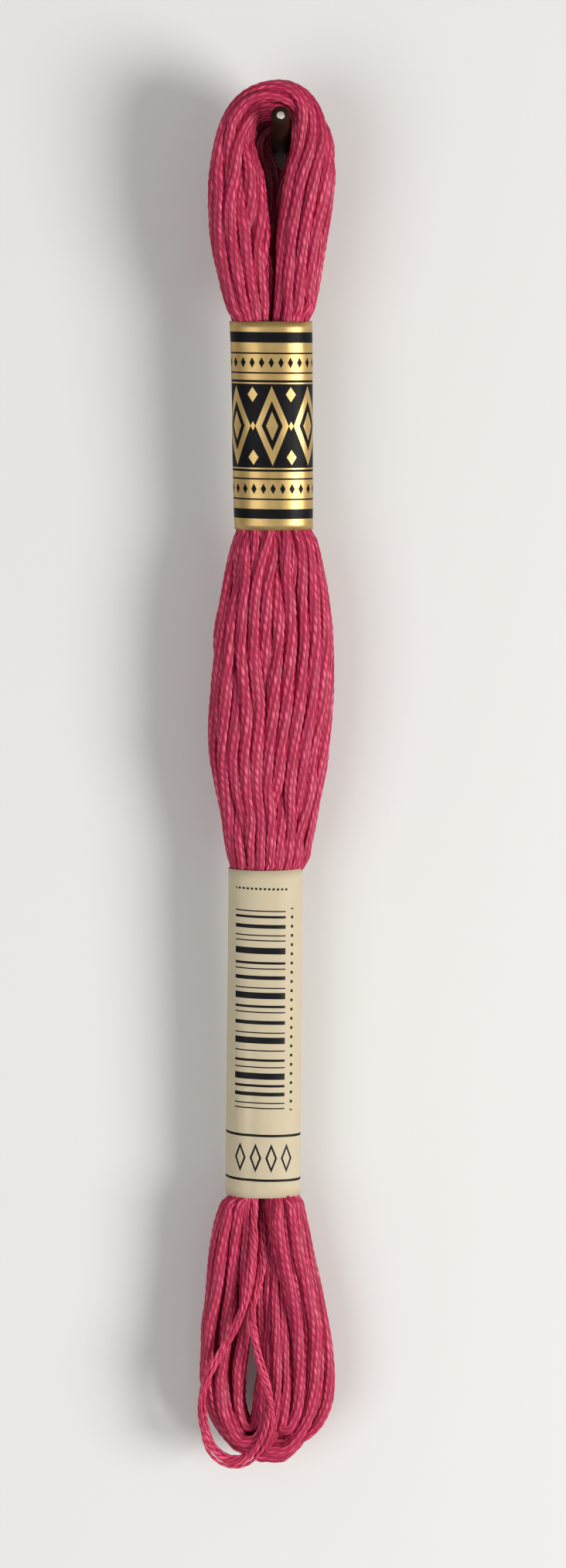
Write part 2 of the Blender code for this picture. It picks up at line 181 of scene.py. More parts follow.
LEFT_LOOP_CUTS = (
    (-2.8, -106.5, -5.6, -106.5, 2.6, 1.2),
    (-2.8, -120.0, -6.0, -120.0, 2.8, 1.4),
    (-2.8, -126.0, -6.3, -126.0, 3.0, 1.4),
    (-2.85, -128.1, -7.0, -127.9, 3.4, 1.2),
    (-2.95, -132.5, -8.3, -132.0, 4.2, 0.7),
    (-3.1, -138.0, -9.1, -137.6, 5.0, 0.2),
    (-3.25, -143.0, -9.95, -143.0, 5.4, 0),
    (-4.0, -147.6, -9.95, -147.8, 5.5, 0),
    (-4.05, -150.8, -9.0, -152.2, 5.5, 0),
    (-3.6, -152.9, -7.1, -155.6, 5.5, 0),
    (-2.8, -153.7, -4.6, -157.6, 5.5, 0),
    (-1.95, -153.1, -1.9, -157.4, 5.4, -0.3),
    (-1.5, -151.0, -0.2, -154.6, 5.1, -0.7),
    (-1.6, -147.6, 0.5, -149.0, 4.6, -1.0),
    (-2.6, -143.0, 0.0, -143.4, 4.2, -1.1),
    (-2.9, -138.0, -0.5, -138.0, 3.9, -1.2),
    (-3.9, -132.5, -1.6, -132.2, 3.4, -1.2),
    (-4.7, -127.0, -2.3, -127.0, 2.9, -1.4),
    (-4.9, -120.0, -2.2, -120.0, 2.8, -1.4),
    (-4.4, -106.5, -2.0, -106.5, 2.6, -1.2),
)
RIGHT_LOOP_CUTS = (
    (-1.4, -106.5, 1.6, -106.5, 2.6, 1.2),
    (-1.5, -120.0, 1.9, -120.0, 2.8, 1.4),
    (-1.5, -126.0, 2.1, -126.0, 3.0, 1.4),
    (-1.5, -128.1, 2.2, -127.9, 3.4, 1.2),
    (-1.0, -132.5, 2.9, -132.2, 4.2, 0.7),
    (0.1, -138.0, 4.4, -137.8, 5.0, 0.2),
    (0.8, -143.0, 5.7, -143.2, 5.5, 0),
    (1.2, -148.0, 5.65, -148.4, 5.5, 0),
    (1.2, -150.9, 4.9, -152.4, 5.5, 0),
    (0.9, -152.4, 2.75, -156.4, 5.5, 0),
    (0.35, -152.9, 0.3, -158.8, 5.4, 0),
    (-0.3, -152.8, -2.6, -158.8, 5.2, -0.1),
    (0.2, -150.8, -1.6, -154.3, 5.0, 0.2),
    (0.7, -148.0, -1.1, -149.4, 4.6, 0.3),
    (0.6, -143.0, -1.1, -143.6, 4.3, 0.1),
    (0.4, -138.0, -1.5, -138.4, 3.9, -0.6),
    (0.6, -132.5, -1.7, -132.6, 3.4, -1.2),
    (1.1, -127.0, -1.6, -127.0, 2.9, -1.4),
    (1.2, -120.0, -1.6, -120.0, 2.8, -1.4),
    (1.2, -106.5, -1.6, -106.5, 2.6, -1.2),
)

for title, cuts in (("upper loop", UPPER_LOOP_CUTS), ("trunk", MIDDLE_CUTS)):
    print("the", title, "is given by", len(cuts), "cuts")

# %% [markdown]
# ## Where the paper bands sit
# On the real skein each band is a strip of paper that is glued round the thread. It could be
# measured all round, but only its front shows. So a band is given by the z of its top and its
# bottom, the x of its left and right edge at each, and one depth.

# %% Measures of the two bands
BANDS = {
    "upper_band": ((-22.25, -6.1, 3.8), (-46.85, -5.5, 3.9), 6.1),
    "lower_band": ((-87.2, -6.25, 2.6), (-126.3, -6.6, 2.45), 5.9),
}
BAND_HEIGHTS = {name: top[0] - bottom[0] for name, (top, bottom, _) in BANDS.items()}
for name, (_, _, depth) in BANDS.items():
    print(name, f"is {BAND_HEIGHTS[name]:.1f} mm tall and {depth} mm deep")

# %% [markdown]
# ## The upper loop, front and rear
# Seen from the front, the hole in the upper loop is dark. The front turns hang wide and show
# the hole, and the turns behind them lie closer to the nail. So the loop is laid as two
# bundles, one behind the other. Two more turns at the very back hug the nail's shank, and
# their legs meet under it, so that no light comes through.


# %% Front and rear of the upper loop
REAR_INNER = (
    (-2.0, -34.0), (-2.0, -26.0), (-1.9, -22.6), (-1.9, -20.7), (-1.85, -17.2), (-1.8, -12.4),
    (-1.9, -8.4), (-2.2, -4.6), (-2.7, -1.9), (-2.9, 0.2), (-2.7, 1.8), (-1.9, 2.9),
    (-0.5, 3.4), (0.8, 3.3), (1.8, 2.6), (2.1, 0.9), (2.0, -1.2), (1.4, -4.3),
    (0.9, -8.3), (0.7, -12.4), (0.5, -17.2), (0.3, -20.7), (0.1, -22.6), (0.0, -26.0),
    (0.0, -34.0),
)
FRONT_SHARE = 0.64
REAR_DRAWN_IN = 0.06


def front_and_rear(cuts):
    """The cuts of the loop's front turns, and of the rear ones that hug the nail."""
    front, rear = np.array(cuts, float), np.array(cuts, float)
    depth = front[:, 4].copy()
    front[:, 4], front[:, 5] = depth * FRONT_SHARE, front[:, 5] + depth * (1 - FRONT_SHARE) / 2
    rear[:, 4], rear[:, 5] = depth * (1 - FRONT_SHARE), rear[:, 5] - depth * FRONT_SHARE / 2
    rear[:, 2:4] += (rear[:, 0:2] - rear[:, 2:4]) * REAR_DRAWN_IN
    rear[:, 0:2] = REAR_INNER
    return front, rear


front_cuts, rear_cuts = front_and_rear(UPPER_LOOP_CUTS)
print(len(front_cuts), "cuts in front and", len(rear_cuts), "behind")

# %% [markdown]
# ## Stations along a bundle
# A bundle's cuts are turned into stations a millimetre or so apart. At each one we keep the
# middle of the cut, the direction across it, and half its width and half its depth. A class
# keeps these together, because every later step needs all of them.


# %% Stations
class Bundle:
    """A bundle of thread as even stations along its middle."""

    def __init__(self, cuts, spacing, thickest):
        self.thickest = thickest
        table = np.array(cuts, float)
        along = lengths_along((table[:, 0:2] + table[:, 2:4]) / 2)
        count = int(round(along[-1] / spacing)) + 1
        cut = steady_curve(along, table, np.linspace(0, along[-1], count))
        inner, outer = cut[:, 0:2], cut[:, 2:4]
        width = np.linalg.norm(outer - inner, axis=1)
        self.middle = (inner + outer) / 2
        self.across = (outer - inner) / width[:, None]
        self.half = np.stack([width, cut[:, 4]], axis=1) / 2
        self.forward = cut[:, 5]

    def places(self, spots):
        """The model's points for spots across the bundle: how far outwards, and how far back."""
        flat = self.middle[:, None] + spots[..., :1] * self.across[:, None]
        y = middle_y(flat[..., 1]) - self.forward[:, None] + spots[..., 1]
        return row_points(flat[..., 0], y, flat[..., 1])


STATION = 1.1
LOOSE_THREAD, HANGING_THREAD = 1.26, 1.07
upper_front = Bundle(front_cuts, STATION, LOOSE_THREAD)
upper_rear = Bundle(rear_cuts, STATION, LOOSE_THREAD)
middle = Bundle(MIDDLE_CUTS, STATION, LOOSE_THREAD)
left_loop = Bundle(LEFT_LOOP_CUTS, STATION, HANGING_THREAD)
right_loop = Bundle(RIGHT_LOOP_CUTS, STATION, HANGING_THREAD)
for bundle in (upper_front, upper_rear, middle, left_loop, right_loop):
    print(len(bundle.middle), "stations, widest", f"{2 * bundle.half[:, 0].max():.1f} mm")

# %% [markdown]
# ## Packing the runs side by side
# Threads in a bundle press on each other until they sit about evenly. We get the same result
# by scattering points in an oval and letting each push its neighbours away. The thread is
# loose, so it lies a little wider than deep. Two packings are then paired up so that the
# threads between them cross as little as they can.

# %% Packing and pairing
FLATTENED = np.array([1.25, 0.80])
SQUARENESS = 2.3
OVAL_FILL = 0.82
PUSH_REACH = 1.35
PACKING_ROUNDS, PACKING_PUSH = 260, 0.12
FAR_OFF = 9
random = np.random.default_rng(25)


def held_inside(spots, half):
    """The spots, with those outside an oval of these half sizes brought back to its edge."""
    share = (np.abs(spots / half) ** SQUARENESS).sum(axis=-1, keepdims=True) ** (1 / SQUARENESS)
    return spots / np.maximum(share, 1.0)


def packed(count, half, thread):
    """Even spots for the middles of this many threads in an oval, as shares of its half sizes."""
    half = half / FLATTENED
    room = half - thread / 2
    spots = random.uniform(-0.8, 0.8, (count, 2)) * room
    reach = PUSH_REACH * math.sqrt(4 * OVAL_FILL * room[0] * room[1] / count)
    for _ in range(PACKING_ROUNDS):
        gaps = spots[:, None] - spots[None]
        far = np.linalg.norm(gaps, axis=2) + np.eye(count) * FAR_OFF
        push = np.clip(reach - far, 0, None) / far
        moved = PACKING_PUSH * (gaps * push[..., None]).sum(axis=1)
        spots = held_inside(spots + moved, room)
    return spots / half


def paired(spots, others):
    """The others, put in the order in which they lie nearest to the spots."""
    cost = ((spots[:, None] - others[None]) ** 2).sum(axis=2)
    order = np.argsort(np.argsort(spots[:, 0]))
    order = np.argsort(others[:, 0])[order]
    improved = True
    while improved:
        improved = False
        for a in range(len(order)):
            for b in range(a + 1, len(order)):
                kept = cost[a, order[a]] + cost[b, order[b]]
                if cost[a, order[b]] + cost[b, order[a]] < kept - 1e-9:
                    order[a], order[b] = order[b], order[a]
                    improved = True
    return others[order]


print("three of 12 threads in a small bundle:")
print(packed(12, np.array([2.0, 2.5]), 1.1).round(2)[:3])

# %% [markdown]
# ## How thick a run is, and how it wanders
# Hand-wound thread never lies quite straight. Each run keeps its place in the bundle, but
# wanders about it in slow waves. It swells where there is room and is squeezed in the bands,
# so its thickness comes from the room that its station leaves it.

# %% Size and wander
def smooth_step(value):
    """0 below 0, 1 above 1, and a soft change between them."""
    value = np.clip(value, 0.0, 1.0)
    return value * value * (3 - 2 * value)


IN_TRUNK = 52
WANDER = 0.36
WANDER_EVERY = 12
THINNEST = 0.92
CUT_OF_A_THREAD = 0.95


def thread_size(bundle, count):
    """The thread's width at each station: squeezed in the bands, and loose outside them."""
    share = 4 * OVAL_FILL * bundle.half[:, 0] * bundle.half[:, 1] / count
    return np.clip(np.sqrt(share / CUT_OF_A_THREAD), THINNEST, bundle.thickest)


def wandering(stations, count, wander):
    """Slow random movement for each run, in millimetres."""
    knots = np.arange(0, stations + WANDER_EVERY, WANDER_EVERY, dtype=float)
    values = random.normal(0, wander, (len(knots), count * 2))
    return even_bend(knots, values, np.arange(stations, dtype=float)).reshape(-1, count, 2)


def blended(keys, stations):
    """Places between the packings at a few stations, moving smoothly from one to the next."""
    knots = np.array([station for station, _ in keys], float)
    values = np.array([spots for _, spots in keys])
    flat = values.reshape(len(keys), -1)
    return steady_curve(knots, flat, np.arange(stations, dtype=float)).reshape(
        (stations,) + values.shape[1:]
    )


thickness = thread_size(middle, IN_TRUNK)
print(IN_TRUNK, f"runs in the trunk are {thickness.min():.2f} to {thickness.max():.2f} mm thick")

# %% [markdown]
# ## Laying the runs along a bundle
# The runs push each other apart at every station and are smoothed along their length. This is
# a small simulation of our own. It is quicker here than a cloth or a rope solver, and it keeps
# the outline that was measured from the photograph.

# %% Laying the runs
SETTLING_ROUNDS, SETTLING_PUSH = 90, 0.3
EDGE_ROOM = 0.46
KEPT, SHARED = 0.4, 0.3


def evened(moved):
    """Evens out the moves between the two ends of a run, in place."""
    moved[1:-1] = KEPT * moved[1:-1] + SHARED * (moved[:-2] + moved[2:])


def settled(home, bundle, size):
    """Lets the runs push each other apart and bend smoothly, inside the bundle's outline."""
    home = home / FLATTENED
    moved = np.zeros_like(home)
    room = (bundle.half / FLATTENED - size[:, None] * EDGE_ROOM)[:, None]
    alone = np.eye(home.shape[1])[None] * FAR_OFF
    for _ in range(SETTLING_ROUNDS):
        spots = home + moved
        gaps = spots[:, :, None] - spots[:, None]
        far = np.linalg.norm(gaps, axis=3) + alone
        push = np.clip(size[:, None, None] - far, 0, None) / far
        spots = spots + SETTLING_PUSH * (gaps * push[..., None]).sum(axis=2)
        moved = held_inside(spots, room) - home
        evened(moved)
    return (home + moved) * FLATTENED


def twisted(shares, twist):
    """The spots turned about the bundle's middle, first one way and then the other."""
    turn = twist * np.sin(2 * math.pi * np.linspace(0, 1, len(shares)))[:, None]
    x, y = shares[..., 0], shares[..., 1]
    turned = [x * np.cos(turn) - y * np.sin(turn), x * np.sin(turn) + y * np.cos(turn)]
    return np.stack(turned, axis=-1)


def laid(bundle, keys, count, wander=WANDER, twist=0.0):
    """The runs of a bundle, from packings at some of its stations."""
    size = thread_size(bundle, count)
    home = twisted(blended(keys, len(bundle.middle)), twist) * bundle.half[:, None]
    home = home + wandering(len(bundle.middle), count, wander)
    return settled(home, bundle, size), size


def keys_for(bundle, shares, count):
    """Packings at these shares of the bundle's length, each paired with the one before."""
    keys = []
    for share in shares:
        station = int(share * (len(bundle.middle) - 1))
        spots = packed(count, bundle.half[station], thread_size(bundle, count)[station])
        keys.append((station, paired(keys[-1][1], spots) if keys else spots))
    return [(0, keys[0][1]), *keys, (len(bundle.middle) - 1, keys[-1][1])]


print("the runs of a bundle are laid in", SETTLING_ROUNDS, "rounds")

# %% [markdown]
# ## How many runs go where
# The counts can't all be seen, so they are chosen: enough to fill the outline with threads of
# the width that shows, and to use up about eight metres. The front turns wander most, and the
# legs of the upper loop twist a little, as they do when a skein is doubled by hand.

# %% The runs of the four loops
OVER_NAIL_FRONT, OVER_NAIL_REAR = 17, 7
IN_LEFT_LOOP, IN_RIGHT_LOOP = 12, 12
LEG_TWIST = 1.0
RESTLESS = 0.5
UPPER_KEYS, LOWER_KEYS = (0.2, 0.5, 0.8), (0.25, 0.5, 0.68)
front_keys = keys_for(upper_front, UPPER_KEYS, OVER_NAIL_FRONT)
front_spots, front_size = laid(upper_front, front_keys, OVER_NAIL_FRONT, RESTLESS, LEG_TWIST)
rear_keys = keys_for(upper_rear, UPPER_KEYS, OVER_NAIL_REAR)
rear_spots, rear_size = laid(upper_rear, rear_keys, OVER_NAIL_REAR)
left_keys = keys_for(left_loop, LOWER_KEYS, IN_LEFT_LOOP)
left_spots, left_size = laid(left_loop, left_keys, IN_LEFT_LOOP)
right_keys = keys_for(right_loop, LOWER_KEYS, IN_RIGHT_LOOP)
right_spots, right_size = laid(right_loop, right_keys, IN_RIGHT_LOOP)
print("upper loop", front_spots.shape, rear_spots.shape, "left loop", left_spots.shape)

# %% [markdown]
# ## Turns with a path of their own
# Two turns at the back hug the nail. One turn on the left of the lower end hangs in front of
# the others and below them, and one on the right swings wide of its loop. The free ones are
# traced from the photograph. Each table gives x, z and how far the turn lies in front of the
# skein's middle. Inside the bands these turns lie among the other runs.

# %% Tables of the four turns
HUGGING_TURNS = (
    (
        (-1.1, -34.0, -0.9), (-1.1, -26.0, -1.2), (-1.2, -18.0, -1.7), (-1.2, -11.0, -1.9),
        (-1.2, -6.5, -2.0), (-1.35, -3.9, -2.1), (-1.75, -1.9, -2.1), (-2.3, -0.2, -2.1),
        (-2.45, 1.3, -2.1), (-1.6, 2.7, -2.1), (0.0, 3.15, -2.1), (1.3, 2.6, -2.1),
        (1.75, 1.0, -2.1), (1.6, -0.6, -2.1), (1.1, -2.0, -2.1), (0.55, -3.4, -2.1),
        (0.1, -6.0, -2.0), (-0.15, -11.0, -1.9), (-0.25, -18.0, -1.8), (-0.35, -26.0, -1.4),
        (-0.4, -34.0, -0.9),
    ),
    (
        (-0.5, -34.0, -1.6), (-0.6, -26.0, -2.2), (-0.85, -18.0, -2.8), (-0.85, -11.0, -3.0),
        (-0.75, -6.0, -3.1), (-0.6, -3.4, -3.2), (-0.62, -2.0, -3.2), (-1.1, -0.5, -3.2),
        (-1.6, 1.0, -3.2), (-1.25, 2.5, -3.2), (0.0, 3.05, -3.2), (1.25, 2.5, -3.2),
        (1.6, 1.0, -3.2), (1.1, -0.5, -3.2), (0.62, -2.0, -3.2), (0.35, -3.4, -3.2),
        (0.25, -6.0, -3.1), (0.35, -11.0, -3.0), (0.3, -18.0, -2.8), (0.3, -26.0, -2.2),
        (0.2, -34.0, -1.6),
    ),
)
LEFT_SLACK = (
    (-3.2, -106.5, 1.0), (-3.2, -116.0, 1.2), (-3.15, -122.0, 1.6), (-3.1, -126.2, 2.0),
    (-3.15, -129.2, 2.6), (-3.45, -135.1, 3.1), (-4.2, -138.8, 3.3), (-5.55, -142.0, 3.35),
    (-7.15, -145.0, 3.35), (-8.45, -147.4, 3.3), (-9.2, -149.5, 3.1), (-9.35, -151.5, 2.9),
    (-9.15, -153.5, 2.7), (-8.55, -155.5, 2.5), (-7.5, -157.1, 2.4), (-6.1, -157.95, 2.3),
    (-4.7, -157.9, 2.5), (-3.25, -156.8, 2.8), (-2.0, -155.0, 3.2), (-1.3, -153.0, 3.4),
    (-1.15, -151.2, 3.5), (-1.45, -149.6, 3.5), (-2.1, -147.4, 3.4), (-2.75, -144.7, 3.3),
    (-3.25, -142.0, 3.1), (-3.3, -139.8, 2.7), (-2.95, -137.9, 2.1), (-2.35, -135.6, 1.2),
    (-2.1, -131.5, 0.5), (-2.0, -126.4, 0.2), (-2.0, -118.0, 0.0), (-2.0, -106.5, 0.0),
)
RIGHT_SLACK = (
    (1.0, -106.5, 0.0), (1.4, -120.0, 0.0), (1.95, -126.4, 0.0), (3.0, -131.5, 0.1),
    (4.5, -138.5, 0.4), (5.6, -144.0, 0.7), (5.8, -148.6, 0.9), (5.35, -152.0, 1.0),
    (4.0, -154.5, 1.1), (2.3, -155.7, 0.9), (0.8, -156.2, 0.4), (-0.6, -155.6, -0.3),
    (-1.2, -152.6, -1.2), (-1.0, -148.0, -1.8), (-0.9, -141.0, -2.0), (-1.0, -134.0, -1.8),
    (-1.0, -126.4, -1.2), (-0.4, -106.5, -1.0),
)
print("the slack turns are given by", len(LEFT_SLACK), "and", len(RIGHT_SLACK), "places")

# %% [markdown]
# ## From a table to a path
# A thread bends evenly, so an even curve through the places of a table gives its path. A
# straight line from place to place would show corners.


# %% Paths of the slack turns
def traced(path):
    """The points of a slack turn in millimetres, at even steps."""
    x, z, in_front = np.array(path).T
    points = row_points(x, middle_y(z) - in_front, z) / MM
    along = lengths_along(points)
    return even_bend(along, points, np.linspace(0, along[-1], int(along[-1] / STATION)))


left_slack, right_slack = traced(LEFT_SLACK), traced(RIGHT_SLACK)
print(f"the left slack turn is {lengths_along(left_slack)[-1]:.0f} mm long below its band")

# %% [markdown]
# ## Keeping runs of different bundles clear of each other
# The left loop, the right loop and the free turns meet in the middle, and so do the turns that
# hug the nail and the ones around them. Points of different runs that come too near are pushed
# apart in space, and the push is smoothed along each run.

# %% Pushing runs apart
from mathutils.kdtree import KDTree


SEARCHES, PUSHES_EACH = 5, 6
NEAR = 1.5
TOUCHING = 0.97
APART_PUSH, MOST_OVERLAP = 0.3, 0.6


def kept_apart(runs, sizes, fixed):
    """The runs, in millimetres, with points that come too near pushed apart in a few rounds."""
    owner = np.concatenate([np.full(len(run), i) for i, run in enumerate(runs)])
    starts = np.cumsum([0] + [len(run) for run in runs])
    size = np.concatenate(sizes)
    free = ~np.isin(owner, fixed)
    flattened = np.array([FLATTENED[0], FLATTENED[1], FLATTENED[0]])
    home = np.concatenate(runs) / flattened
    moved = np.zeros_like(home)
    for _ in range(SEARCHES):
        spots = home + moved
        tree = KDTree(len(spots))
        for i, spot in enumerate(spots):
            tree.insert(spot, i)
        tree.balance()
        near = [
            (i, j)
            for i, spot in enumerate(spots)
            for _, j, _ in tree.find_range(spot, NEAR)
            if owner[j] > owner[i]
        ]
        a, b = np.array(near).T
        wanted = (size[a] + size[b]) / 2 * TOUCHING
        for _ in range(PUSHES_EACH):
            spots = home + moved
            gaps = spots[a] - spots[b]
            far = np.linalg.norm(gaps, axis=1) + 1e-6
            overlap = np.clip(wanted - far, 0, MOST_OVERLAP)
            push = APART_PUSH * gaps * (overlap / far)[:, None]
            np.add.at(moved, a, push)
            np.add.at(moved, b, -push)
            moved[~free] = 0
            for start, end in zip(starts, starts[1:]):
                evened(moved[start:end])
    spots = (home + moved) * flattened
    return [spots[start:end] for start, end in zip(starts, starts[1:])]


print("runs are pushed apart in", SEARCHES * PUSHES_EACH, "steps")

# %% [markdown]
# The turns that were traced stay where they are, and their neighbours give way to them. The
# rear turns and the lower loops are far from each other, so they are done one after the other.

# %% Room for the traced turns
SLACK_SIZE, HUGGING_SIZE = 0.95, 1.1
rear_runs = list(np.swapaxes(upper_rear.places(rear_spots), 0, 1) / MM)
hugging = [traced(path) for path in HUGGING_TURNS]
hugging_sizes = [np.full(len(run), HUGGING_SIZE) for run in hugging]
rear_runs = kept_apart(
    rear_runs + hugging,
    [rear_size] * OVER_NAIL_REAR + hugging_sizes,
    fixed=[OVER_NAIL_REAR, OVER_NAIL_REAR + 1],
)
left_runs = list(np.swapaxes(left_loop.places(left_spots), 0, 1) / MM)
right_runs = list(np.swapaxes(right_loop.places(right_spots), 0, 1) / MM)
lower_runs = left_runs + right_runs + [left_slack, right_slack]
lower_sizes = (
    [left_size] * IN_LEFT_LOOP
    + [right_size] * IN_RIGHT_LOOP
    + [np.full(len(left_slack), SLACK_SIZE), np.full(len(right_slack), SLACK_SIZE)]
)
lower_runs = kept_apart(lower_runs, lower_sizes, fixed=[len(lower_runs) - 2, len(lower_runs) - 1])
left_runs = lower_runs[:IN_LEFT_LOOP]
right_runs = lower_runs[IN_LEFT_LOOP:-2]
print(len(lower_runs), "runs in the lower loops")

# %% [markdown]
# ## The runs between the bands
# All 52 runs pass through the trunk. At its top they start where the upper loop's runs end,
# and at its bottom they end where the lower loops' runs start, both hidden inside a band.

# %% The trunk
def in_bundle(bundle, station, flat):
    """Spots in another bundle's cut for points given by x and y."""
    cut = bundle.middle[station]
    y = flat[:, 1] - middle_y(cut[1])
    return np.stack([flat[:, 0] - cut[0], y], axis=1) / bundle.half[station]


def ends_of(runs):
    """The x and y of both ends of some runs."""
    return np.array([run[end, :2] for run in runs for end in (0, -1)])


TRUNK_KEYS = (0.3, 0.62)
front_runs = list(np.swapaxes(upper_front.places(front_spots), 0, 1) / MM)
top_ends = ends_of(front_runs + rear_runs)
bottom_ends = ends_of(lower_runs)
last = len(middle.middle) - 1
keys = [(0, in_bundle(middle, 0, top_ends))]
for share in TRUNK_KEYS:
    station = int(share * last)
    spots = packed(IN_TRUNK, middle.half[station], thread_size(middle, IN_TRUNK)[station])
    keys.append((station, paired(keys[-1][1], spots)))
keys.append((last, paired(keys[-1][1], in_bundle(middle, last, bottom_ends))))
middle_spots, middle_size = laid(middle, keys, IN_TRUNK, RESTLESS)
print(len(top_ends), "ends in the upper band,", len(bottom_ends), "in the lower one")

# %% [markdown]
# ## Spinning the thread
# A run of floss is six fine threads side by side with a slow twist, and each fine thread is
# two plies wound tightly round each other. That tight winding is what makes the small beads
# of light. So the cut across a run has six lobes that turn slowly along it, and each lobe
# swells and sinks about once a millimetre, on a slant. A second map keeps count of these
# beads, so that the colour follows the shape. Runs deep inside get a plain coarse cut.

# %% Where the rings of a run go
RING_STEP = 0.235
CORE_STEP = 1.4
FINE_LOOK = 0.2
FEWEST_RINGS = 4
HIDDEN_FROM_EDGE = 2.0
IN_THE_PAPER = [
    (bottom[0] + DATUM_ABOVE_ROOT + HIDDEN_FROM_EDGE, top[0] + DATUM_ABOVE_ROOT - HIDDEN_FROM_EDGE)
    for top, bottom, depth in BANDS.values()
]


def unit(vectors):
    return vectors / np.linalg.norm(vectors, axis=-1, keepdims=True)


def ring_places(points, step):
    """Where along a run its rings go: close together in sight, and far apart inside the paper."""
    along = lengths_along(points)
    fine_at = np.linspace(0, along[-1], max(int(along[-1] / FINE_LOOK), FEWEST_RINGS))
    height = np.interp(fine_at, along, points[:, 2])
    hidden = np.zeros(len(height), bool)
    for low, high in IN_THE_PAPER:
        hidden |= (height > low) & (height < high)
    rings = np.where(hidden, 1 / CORE_STEP, 1 / step)
    passed = np.concatenate([[0], np.cumsum((rings[1:] + rings[:-1]) / 2 * np.diff(fine_at))])
    even = np.linspace(0, passed[-1], max(int(passed[-1]), FEWEST_RINGS))
    return along, np.interp(even, passed, fine_at)


print(len(ring_places(left_slack, RING_STEP)[1]), "rings would go along the left slack turn")

# %% [markdown]
# ## Six threads and their beads
# No two fine threads are alike: the beads of each start at their own place and come a little
# faster or slower, and a thread stands proud here and sinks there. Slowly changing random
# numbers do both. A plain repeat would look like a machine-made screw.


# %% Six lobes
LOBES = 6
LOBE_POINTS = 3
LOBE_RADII = np.array([0.78, 1.0, 1.0])
BEAD = 1.08
BEAD_DEPTH = 0.11
PLY_SLANT = 0.95
MIDDLE_SWELL = 0.64
BEAD_DRIFT, BEAD_DRIFT_EVERY = 0.42, 5.0
PROUD, PROUD_EVERY = 0.06, 4.0
FIRST_BEADS = 9


def slow_change(at, spread, every):
    """A slowly changing random number for each of the six lobes along a run."""
    knots = np.arange(0, at[-1] + 2 * every, every)
    return even_bend(knots, random.normal(0, spread, (len(knots), LOBES)), at)


def six_lobes(at):
    """The radius round each ring of six fine threads, and each thread's count of beads there."""
    lobe = np.arange(LOBES * LOBE_POINTS) // LOBE_POINTS
    place = np.arange(LOBES * LOBE_POINTS) % LOBE_POINTS
    beads = at[:, None] / BEAD + random.uniform(0, FIRST_BEADS, LOBES)
    beads = beads + slow_change(at, BEAD_DRIFT, BEAD_DRIFT_EVERY)
    swell = np.abs(np.sin(math.pi * (beads[:, lobe] + PLY_SLANT * place / LOBE_POINTS)))
    swell = swell - MIDDLE_SWELL
    proud = 1 + slow_change(at, PROUD, PROUD_EVERY)[:, lobe]
    return LOBE_RADII[place] * proud * (1 + BEAD_DEPTH * swell * (place > 0)), beads


print(LOBES * LOBE_POINTS, "points go round a run of floss")

# %% [markdown]
# ## Three kinds of thread
# A strand is a whole run of floss, with its six fine threads. A thread is one fine thread by
# itself, whose two plies wind round it. A core is a run deep inside, which nobody sees. All
# three are rings of points round a path, so one function makes them.


# %% Rings of points
TWIST_LENGTH = 40.0
SLOWEST_TWIST, FASTEST_TWIST = 0.6, 1.3
CORE_POINTS = 8
CORE_RADIUS = 0.94
THIN_RADIUS, THIN_SWELL = 0.80, 0.25
THIN_DRIFT = 0.2
LOWEST, HEIGHT_RANGE = 0.6, 0.46


def ring_points(points, outward, size, step, kind):
    """Rings of points round a run, how high each stands, and the corners of the bead map."""
    along, at = ring_places(points, step)
    values = even_bend(along, np.concatenate([points, outward, size[:, None]], axis=1), at)
    centre, out, wide = values[:, :3], values[:, 3:6], values[:, 6:] / 2
    ahead = unit(np.gradient(centre, at, axis=0))
    out = unit(out - (out * ahead).sum(axis=1, keepdims=True) * ahead)
    side = np.cross(ahead, out)
    count = LOBES * LOBE_POINTS if kind == "strand" else CORE_POINTS
    turn = 2 * math.pi * (np.arange(count) + 0.5) / count
    across, deep = FLATTENED
    corner = np.arange(count)[:, None] + [0, 1]
    if kind == "strand":
        start = random.uniform(0, 2 * math.pi)
        pace = random.uniform(SLOWEST_TWIST, FASTEST_TWIST)
        angle = turn[None] + (start + 2 * math.pi * at * pace / TWIST_LENGTH)[:, None]
        radius, beads = six_lobes(at)
        lobe = corner[:, :1] // LOBE_POINTS
        in_lobe = corner / LOBE_POINTS - lobe
        bead_map = np.stack(
            np.broadcast_arrays(beads[:, lobe] + PLY_SLANT * in_lobe, lobe + in_lobe), axis=-1
        )
    elif kind == "thread":
        across = deep = 1.0
        angle = np.broadcast_to(turn, (len(at), count))
        beads = at[:, None] / BEAD + random.uniform(0, FIRST_BEADS)
        beads = beads + slow_change(at, THIN_DRIFT, BEAD_DRIFT_EVERY)[:, :1]
        radius = THIN_RADIUS + THIN_SWELL * np.abs(np.sin(math.pi * beads + angle))
        bead_map = np.stack(
            np.broadcast_arrays(beads[:, :, None] + 2 * (corner + 0.5) / count, 0.5), axis=-1
        )
    else:
        angle = np.broadcast_to(turn, (len(at), count))
        radius = np.full(angle.shape, CORE_RADIUS)
        bead_map = np.broadcast_to([0.0, 0.5], (len(at), count, 2, 2))
    ring = centre[:, None] + (radius * wide)[..., None] * (
        np.cos(angle)[..., None] * out[:, None] * deep
        + np.sin(angle)[..., None] * side[:, None] * across
    )
    return ring, np.clip((radius - LOWEST) / HEIGHT_RANGE, 0, 1), at, bead_map


print("a ring has", LOBES * LOBE_POINTS, "points on a strand and", CORE_POINTS, "on a core")

# %% [markdown]
# ## The painted shade round the nail
# Little light reaches the inside of the upper loop behind the nail, and the cotton there looks
# almost black. The lamps alone leave it brighter than in the photograph. So each point also
# gets a painted shade, which the floss material reads to darken its colour.


# %% How much painted shade a point gets
DARK_BELOW, DARK_FADE = -14.0, 8.0
DARK_WITHIN, DARK_EDGE = 2.5, 1.2
BEHIND, BEHIND_FADE = 0.2, 1.2
NAIL_AT = 1.35


